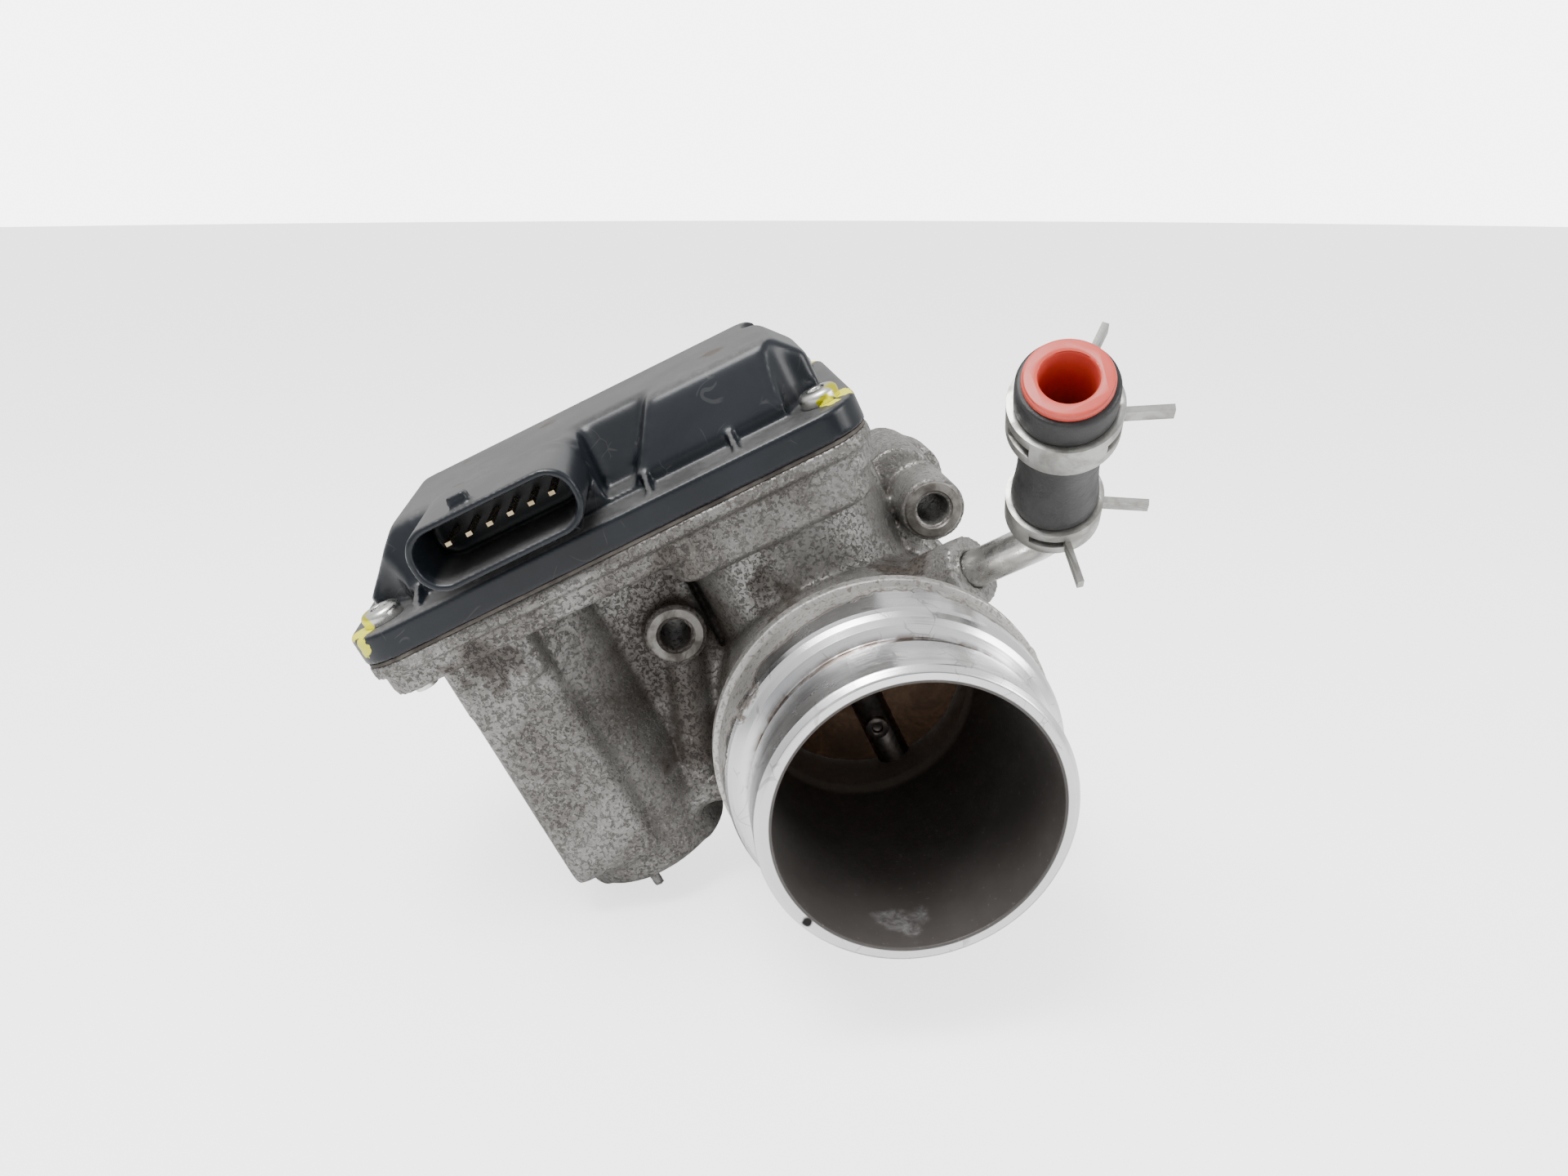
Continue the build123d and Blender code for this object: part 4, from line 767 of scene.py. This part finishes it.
def cad_bmesh(node: str) -> bmesh.types.BMesh:
    """Merged copy of a CAD node's mesh, with flat faces joined."""
    bm = bmesh.new()
    bm.from_mesh(frame["nodes"][node].data)
    bmesh.ops.remove_doubles(bm, verts=bm.verts, dist=CAD_WELD_MM * MM)
    bmesh.ops.dissolve_limit(bm, angle_limit=math.radians(CAD_FLAT_DEG), verts=bm.verts, edges=bm.edges)
    return bm


def softened(node: str, name: str, slot: Slot, edge_mm: float) -> None:
    """Replace a CAD node by a copy with its sharp edges rounded.

    Args:
        node: CAD node to copy.
        name: Name of the new piece, which rides on the node's body.
        slot: The piece's finish.
        edge_mm: Width of the rounded edges.
    """
    piece = new_piece(name, cad_bmesh(node), finish(slot))
    applied(piece, "BEVEL", width=edge_mm * MM, segments=2, limit_method="ANGLE",
            angle_limit=math.radians(ROUND_FROM_DEG), use_clamp_overlap=True, miter_outer="MITER_ARC")
    shade(piece, KEEP_FROM_DEG)
    body = frame["nodes"][node]["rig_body"]
    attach(piece, body)
    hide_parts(node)
    LOG.info("softened %s: %d faces", name, len(piece.data.polygons))


def relaxed(piece: bpy.types.Object, low: tuple, high: tuple, passes: int) -> None:
    """Round the part of a mesh that lies between two corners.

    Args:
        piece: Evenly meshed piece.
        low: Lowest corner with the shaft upright, in millimetres.
        high: Highest corner.
        passes: Smoothing passes.
    """
    bm = bmesh.new()
    bm.from_mesh(piece.data)
    back = LEAN.inverted()
    chosen = []
    for vertex in bm.verts:
        place = (back @ vertex.co) / MM
        if all(a <= value <= b for a, value, b in zip(low, place, high)):
            chosen.append(vertex)
    for _ in range(passes):
        bmesh.ops.smooth_vert(
            bm, verts=chosen, factor=EASE, use_axis_x=True, use_axis_y=True, use_axis_z=True)
    bm.to_mesh(piece.data)
    bm.free()


def evened(piece: bpy.types.Object, smoothing: int, most_triangles: int) -> None:
    """Smooth a remeshed piece, hold its triangle count and shade it smooth."""
    applied(piece, "SMOOTH", factor=EASE, iterations=smoothing)
    triangles = 2 * len(piece.data.polygons)
    if triangles > most_triangles:
        applied(piece, "DECIMATE", ratio=most_triangles / triangles)
    piece.data.shade_smooth()


def dressed_nodes(slots: dict[str, str]) -> None:
    """Give every CAD node the finish of its record slot."""
    for node, slot in slots.items():
        wear(frame["nodes"][node], finish(Slot(slot)))


# ---- sub-assemblies -----------------------------------------------------------------
@dataclass
class Casting:
    """The cast housing behind the turned inlet."""

    cut_y: float = -64.5
    bore_r: float = 27.5
    bore_growth: float = 0.9
    axis_share: float = 0.5
    voxel: float = 0.62
    smoothing: int = 3
    most_triangles: int = 190000
    nub: tuple = (-62.5, -44.6, 45.5)
    nub_r: float = 4.3
    nub_length: float = 13.0
    nub_sides: int = 32
    pad_low: tuple = (-84.0, -52.0, -19.0)
    pad_high: tuple = (-41.0, -37.0, 37.0)
    pad_passes: int = 36

    def build(self) -> None:
        """Remesh the housing so that its edges are round as cast."""
        bm = cad_bmesh("throttle_body")
        cut = Vector((0.0, self.cut_y * MM, 0.0))
        found = bmesh.ops.bisect_plane(
            bm, geom=bm.verts[:] + bm.edges[:] + bm.faces[:], plane_co=cut,
            plane_no=Vector(ALONG_BORE), clear_inner=True)
        rim = [item for item in found["geom_cut"] if isinstance(item, bmesh.types.BMEdge)]
        bmesh.ops.triangle_fill(bm, edges=rim, use_beauty=True)
        for vertex in bm.verts:
            reach = math.hypot(vertex.co.x, vertex.co.z)
            if self.axis_share * self.bore_r * MM < reach < self.bore_r * MM:
                share = (reach + self.bore_growth * MM) / reach
                vertex.co.x *= share
                vertex.co.z *= share
        bmesh.ops.triangulate(bm, faces=bm.faces)
        bmesh.ops.recalc_face_normals(bm, faces=bm.faces)
        bmesh.ops.create_cone(
            bm, cap_ends=True, segments=self.nub_sides, radius1=self.nub_r * MM, radius2=self.nub_r * MM,
            depth=self.nub_length * MM, matrix=Matrix.Translation(upright(*self.nub)) @ LEAN)
        piece = new_piece("casting_skin", bm, finish(Slot.CAST))
        applied(piece, "REMESH", mode="VOXEL", voxel_size=self.voxel * MM)
        relaxed(piece, self.pad_low, self.pad_high, self.pad_passes)
        evened(piece, self.smoothing, self.most_triangles)
        wear(piece, finish(Slot.CAST))
        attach(piece, "housing")
        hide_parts("throttle_body")
        LOG.info("casting skin: %d faces", len(piece.data.polygons))


@dataclass
class Inlet:
    """Turned spigot, collar and bore lining, spun about the bore's axis."""

    steps: int = 240
    spigot_r: float = 30.0
    spigot_bore: float = 26.8
    throat_r: float = 24.7
    taper_r: float = 25.4
    taper_y: float = -39.5
    throat_y: float = -37.1
    rim_y: float = -97.0
    groove_y: float = -85.0
    collar_y: float = -80.8
    collar_end: float = -67.0
    collar_r: float = 34.3
    shoulder_r: float = 35.3
    rim_chamfer: float = 1.1
    groove_depth: float = 1.0
    groove_slope: float = 0.5
    step_in: float = 0.9
    lining: float = 0.8
    back_y: float = -0.05
    edge: float = 0.25
    edge_from_deg: float = 28.0
    keep_from_deg: float = 9.0
    collar_shares: tuple = ((0.0, 0.0), (0.30, 0.045), (0.58, 0.11), (0.76, 0.19), (0.86, 0.27))

    def profile(self) -> list[tuple[float, float]]:
        """Closed outline as (radius, y) in millimetres."""
        collar_points = [
            (self.spigot_r + share * (self.collar_r - self.spigot_r),
             self.collar_y + along * (self.collar_end - self.collar_y))
            for share, along in self.collar_shares
        ]
        return [
            (self.spigot_bore, self.rim_y), (self.spigot_r - self.rim_chamfer, self.rim_y),
            (self.spigot_r, self.rim_y + self.rim_chamfer), (self.spigot_r, self.groove_y),
            (self.spigot_r - self.groove_depth, self.groove_y + self.groove_slope),
            (self.spigot_r - self.groove_depth, self.collar_y - self.groove_slope),
            *collar_points, (self.collar_r, self.collar_end),
            (self.collar_r - self.step_in, self.collar_end + 0.3),
            (self.collar_r - self.step_in, self.collar_end + 1.0), (self.shoulder_r, self.collar_end + 1.4),
            (self.shoulder_r, self.collar_end + 4.0), (self.shoulder_r - 3.2, self.collar_end + 6.9),
            (self.taper_r + 2.6, self.collar_end + 7.0), (self.taper_r + self.lining, self.taper_y),
            (self.throat_r + self.lining, self.throat_y), (self.throat_r + self.lining, self.back_y),
            (self.throat_r, self.back_y), (self.throat_r, self.throat_y), (self.taper_r, self.taper_y),
        ]

    def build(self) -> None:
        """Spin the outline and round its edges."""
        outline = [(radius, y, 0.0) for radius, y in self.profile()]
        piece = spun("turned_inlet", outline, ALONG_BORE, self.steps, Slot.TURNED)
        applied(piece, "BEVEL", width=self.edge * MM, segments=2, limit_method="ANGLE",
                angle_limit=math.radians(self.edge_from_deg), use_clamp_overlap=True)
        shade(piece, self.keep_from_deg)
        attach(piece, "housing")
        LOG.info("turned inlet: %d faces", len(piece.data.polygons))


@dataclass
class Cover:
    """Moulded gear cover with rounded crown."""

    voxel: float = 0.55
    smoothing: int = 2
    most_triangles: int = 185000
    crown_base: float = 68.5
    crown_passes: int = 22
    crown_top: float = 90.0
    regions: tuple = (
        ((-29.5, -60.0), (26.0, 10.0)), ((-95.0, -60.0), (-67.0, 10.0)), ((-67.0, -44.0), (-29.5, 10.0)),
    )

    def build(self) -> None:
        """Remesh the cover so that its edges are round as moulded."""
        piece = new_piece("cover_shell", cad_bmesh("gear_cover"), finish(Slot.COVER))
        applied(piece, "REMESH", mode="VOXEL", voxel_size=self.voxel * MM)
        for low, high in self.regions:
            relaxed(piece, (*low, self.crown_base), (*high, self.crown_top), self.crown_passes)
        evened(piece, self.smoothing, self.most_triangles)
        wear(piece, finish(Slot.COVER))
        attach(piece, "housing")
        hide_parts("gear_cover")
        LOG.info("cover shell: %d faces", len(piece.data.polygons))


@dataclass
class BossFaces:
    """Machined rings on the front of the bolt bosses."""

    circle_r: float = 44.0
    front_y: float = -38.0
    hole_r: float = 3.4
    outer_r: float = 6.3
    proud: float = 0.25
    sunk: float = 2.0
    hole_mouth: float = 0.9
    mouth_depth: float = 0.7
    edge_width: float = 0.3
    edge_drop: float = 0.2
    count: int = 4
    first_deg: float = 45.0
    keep_from_deg: float = 30.0
    steps: int = 48

    def build(self) -> None:
        """Spin one ring for each bolt."""
        corners = (
            (self.hole_r, self.sunk), (self.hole_r, self.mouth_depth),
            (self.hole_r + self.hole_mouth, -self.proud), (self.outer_r - self.edge_width, -self.proud),
            (self.outer_r, -self.proud + self.edge_drop), (self.outer_r, self.sunk),
        )
        outline = [(radius, self.front_y + depth, 0.0) for radius, depth in corners]
        for index in range(self.count):
            angle = math.radians(self.first_deg) + index * math.tau / self.count
            centre = upright(self.circle_r * math.cos(angle), 0.0, self.circle_r * math.sin(angle))
            piece = spun(f"boss_face_{index + 1}", outline, ALONG_BORE, self.steps, Slot.MACHINED,
                         Matrix.Translation(centre))
            shade(piece, self.keep_from_deg)
            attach(piece, "housing")
        LOG.info("four boss faces")


@dataclass
class HoseStub:
    """Rubber stub squeezed by its two clamps."""

    corner: tuple = (46.4, -66.5, 26.0)
    direction: tuple = (0.073, -0.703, 0.703)
    start: float = 7.5
    bore_r: float = 3.95
    plug_r: float = 5.75
    plug_depth: float = 17.0
    cone_depth: float = 22.0
    keep_from_deg: float = 50.0
    steps: int = 96
    outline: tuple = (
        (0.0, 6.9), (0.5, 7.3), (2.4, 7.42), (3.4, 7.40), (9.6, 7.42), (10.6, 7.78), (12.5, 7.66),
        (16.0, 7.25), (20.0, 6.98), (23.5, 6.92), (24.3, 7.02), (28.0, 7.05), (31.5, 7.35), (32.8, 7.75),
        (34.0, 7.9), (39.8, 8.0), (41.0, 8.18), (43.5, 8.2), (45.2, 8.15), (45.8, 7.95), (46.0, 7.6),
    )

    def placing(self) -> Matrix:
        """Transform from the hose's own axis, +Z, to its place."""
        way = LEAN @ Vector(self.direction).normalized()
        base = upright(*self.corner) + way * self.start * MM
        return Matrix.Translation(base) @ Vector(UPWARD).rotation_difference(way).to_matrix().to_4x4()

    def build(self) -> None:
        """Spin the hose's outline and put it over the pipe."""
        length = self.outline[-1][0]
        inner = ((length, self.plug_r), (length - self.plug_depth, self.plug_r),
                 (length - self.cone_depth, self.bore_r), (0.0, self.bore_r))
        outline = [(radius, 0.0, along) for along, radius in self.outline + inner]
        piece = spun("hose_stub", outline, UPWARD, self.steps, Slot.HOSE, self.placing())
        shade(piece, self.keep_from_deg)
        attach(piece, "housing")
        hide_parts("coolant_hose")
        LOG.info("hose stub: %d faces", len(piece.data.polygons))


@dataclass
class Studio:
    """Pale floor, soft lights, light tent and camera."""

    tent_strength: float = 1.05
    backdrop_strength: float = 6.0
    floor_lift: float = 1.9
    floor_r: float = 6.0
    floor_sides: int = 64
    floor_dull: Colour = rgb(0.90, 0.90, 0.90)
    floor_pale: Colour = rgb(0.93, 0.93, 0.93)
    white: Colour = rgb(1.0, 1.0, 1.0)
    black: Colour = rgb(0.0, 0.0, 0.0)
    room: Colour = rgb(0.16, 0.17, 0.19)
    lamp_aim: tuple = (0.0, -0.05, 0.0)
    focal_mm: float = 27.0
    sensor_mm: float = 36.0
    camera_place: tuple = (-0.04613, -0.27866, 0.10727)
    camera_pitch_deg: float = 18.79
    camera_turn_deg: float = 6.75

    def floor(self) -> None:
        """Broad pale floor under the part."""
        low = min(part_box(node)[0].z for node in frame["nodes"])
        bm = bmesh.new()
        bmesh.ops.create_circle(bm, cap_ends=True, radius=self.floor_r, segments=self.floor_sides)
        bmesh.ops.translate(bm, verts=bm.verts, vec=(0.0, 0.0, low))
        m = Material("studio_floor", 0.28, 0.0)
        cloud = m.group("mottle", Scale=4.0, Detail=3.0, Low=0.3, High=0.7, Warp=0.0)
        m.colour(m.graph.blend(cloud, self.floor_dull, self.floor_pale))
        m.rough(m.graph.plus(0.26, m.graph.times(cloud, 0.06)))
        seen = m.graph.add("LightPath").outputs["Is Camera Ray"]
        m.graph.feed(m.shader.inputs["Emission Color"], m.graph.blend(seen, self.black, self.white))
        m.shader.inputs["Emission Strength"].default_value = self.floor_lift
        floor = new_piece("studio_floor", bm, m.data)

    def tent(self) -> None:
        """White surroundings, darker towards the front where the room is."""
        world = bpy.data.worlds.new("tent")
        world.use_nodes = True
        bpy.context.scene.world = world
        g = Graph(world.node_tree)
        background = world.node_tree.nodes["Background"]
        way = g.add("TexCoord").outputs["Generated"]
        parts = g.add("SeparateXYZ", None, Vector=way)
        front = g.ramp(parts.outputs["Y"], -0.15, -0.85)
        low = g.ramp(parts.outputs["Z"], 0.55, -0.1)
        dark = g.times(front, low)
        g.feed(background.inputs["Color"], g.blend(dark, self.white, self.room))
        seen = g.add("LightPath").outputs["Is Camera Ray"]
        lift = g.times(seen, self.backdrop_strength - self.tent_strength)
        g.feed(background.inputs["Strength"], g.plus(self.tent_strength, lift))

    def lamp(self, name: str, place: tuple, size: float, power: float) -> None:
        """Square soft lamp aimed at the part.

        Args:
            name: Lamp name.
            place: Position in metres.
            size: Side in metres.
            power: Watts.
        """
        data = bpy.data.lights.new(name, "AREA")
        data.size = size
        data.energy = power
        lamp = bpy.data.objects.new(name, data)
        lamp.location = place
        lamp.rotation_euler = (Vector(self.lamp_aim) - Vector(place)).to_track_quat("-Z", "Y").to_euler()
        bpy.context.scene.collection.objects.link(lamp)

    def camera(self) -> None:
        """Camera a hand's breadth above and in front of the inlet."""
        data = bpy.data.cameras.new("camera")
        data.lens = self.focal_mm
        data.sensor_width = self.sensor_mm
        camera = bpy.data.objects.new("camera", data)
        camera.location = self.camera_place
        camera.rotation_euler = (
            math.radians(90.0 - self.camera_pitch_deg), 0.0, -math.radians(self.camera_turn_deg))
        bpy.context.scene.collection.objects.link(camera)
        bpy.context.scene.camera = camera

    def build(self) -> None:
        """Set everything up."""
        self.floor()
        self.tent()
        self.lamp("key", (-0.25, -0.25, 0.75), 0.40, 10.0)
        self.lamp("side", (0.7, -0.45, 0.35), 0.35, 3.5)
        self.camera()
        LOG.info("studio ready")


def main() -> None:
    """Build the pieces in order and dress them."""
    logging.basicConfig(level=logging.INFO, format="%(name)s: %(message)s")
    Studio().build()
    dressed_nodes({part["node"]: part["material_slot"] for part in frame["record"]["subparts"]})
    Casting().build()
    Inlet().build()
    BossFaces().build()
    Cover().build()
    softened("cover_gasket", "gasket_ring", Slot.GASKET, 0.12)
    softened("cover_screws", "cover_screw_heads", Slot.SCREWS, 0.2)
    softened("throttle_shaft", "shaft_bar", Slot.SHAFT, 0.15)
    softened("throttle_plate", "butterfly", Slot.PLATE, 0.1)
    softened("plate_screws", "butterfly_screws", Slot.SHAFT, 0.15)
    softened("coolant_pipe", "coolant_tube", Slot.PLATED, 0.15)
    softened("return_nipple", "return_tube", Slot.PLATED, 0.15)
    HoseStub().build()
    softened("hose_plug", "hose_bush", Slot.PLUG, 0.3)
    softened("upper_clamp", "upper_band", Slot.CLAMP, 0.15)
    softened("lower_clamp", "lower_band", Slot.CLAMP, 0.15)
    softened("core_plug", "boss_plug", Slot.PLATED, 0.2)


if __name__ == "__main__":
    main()
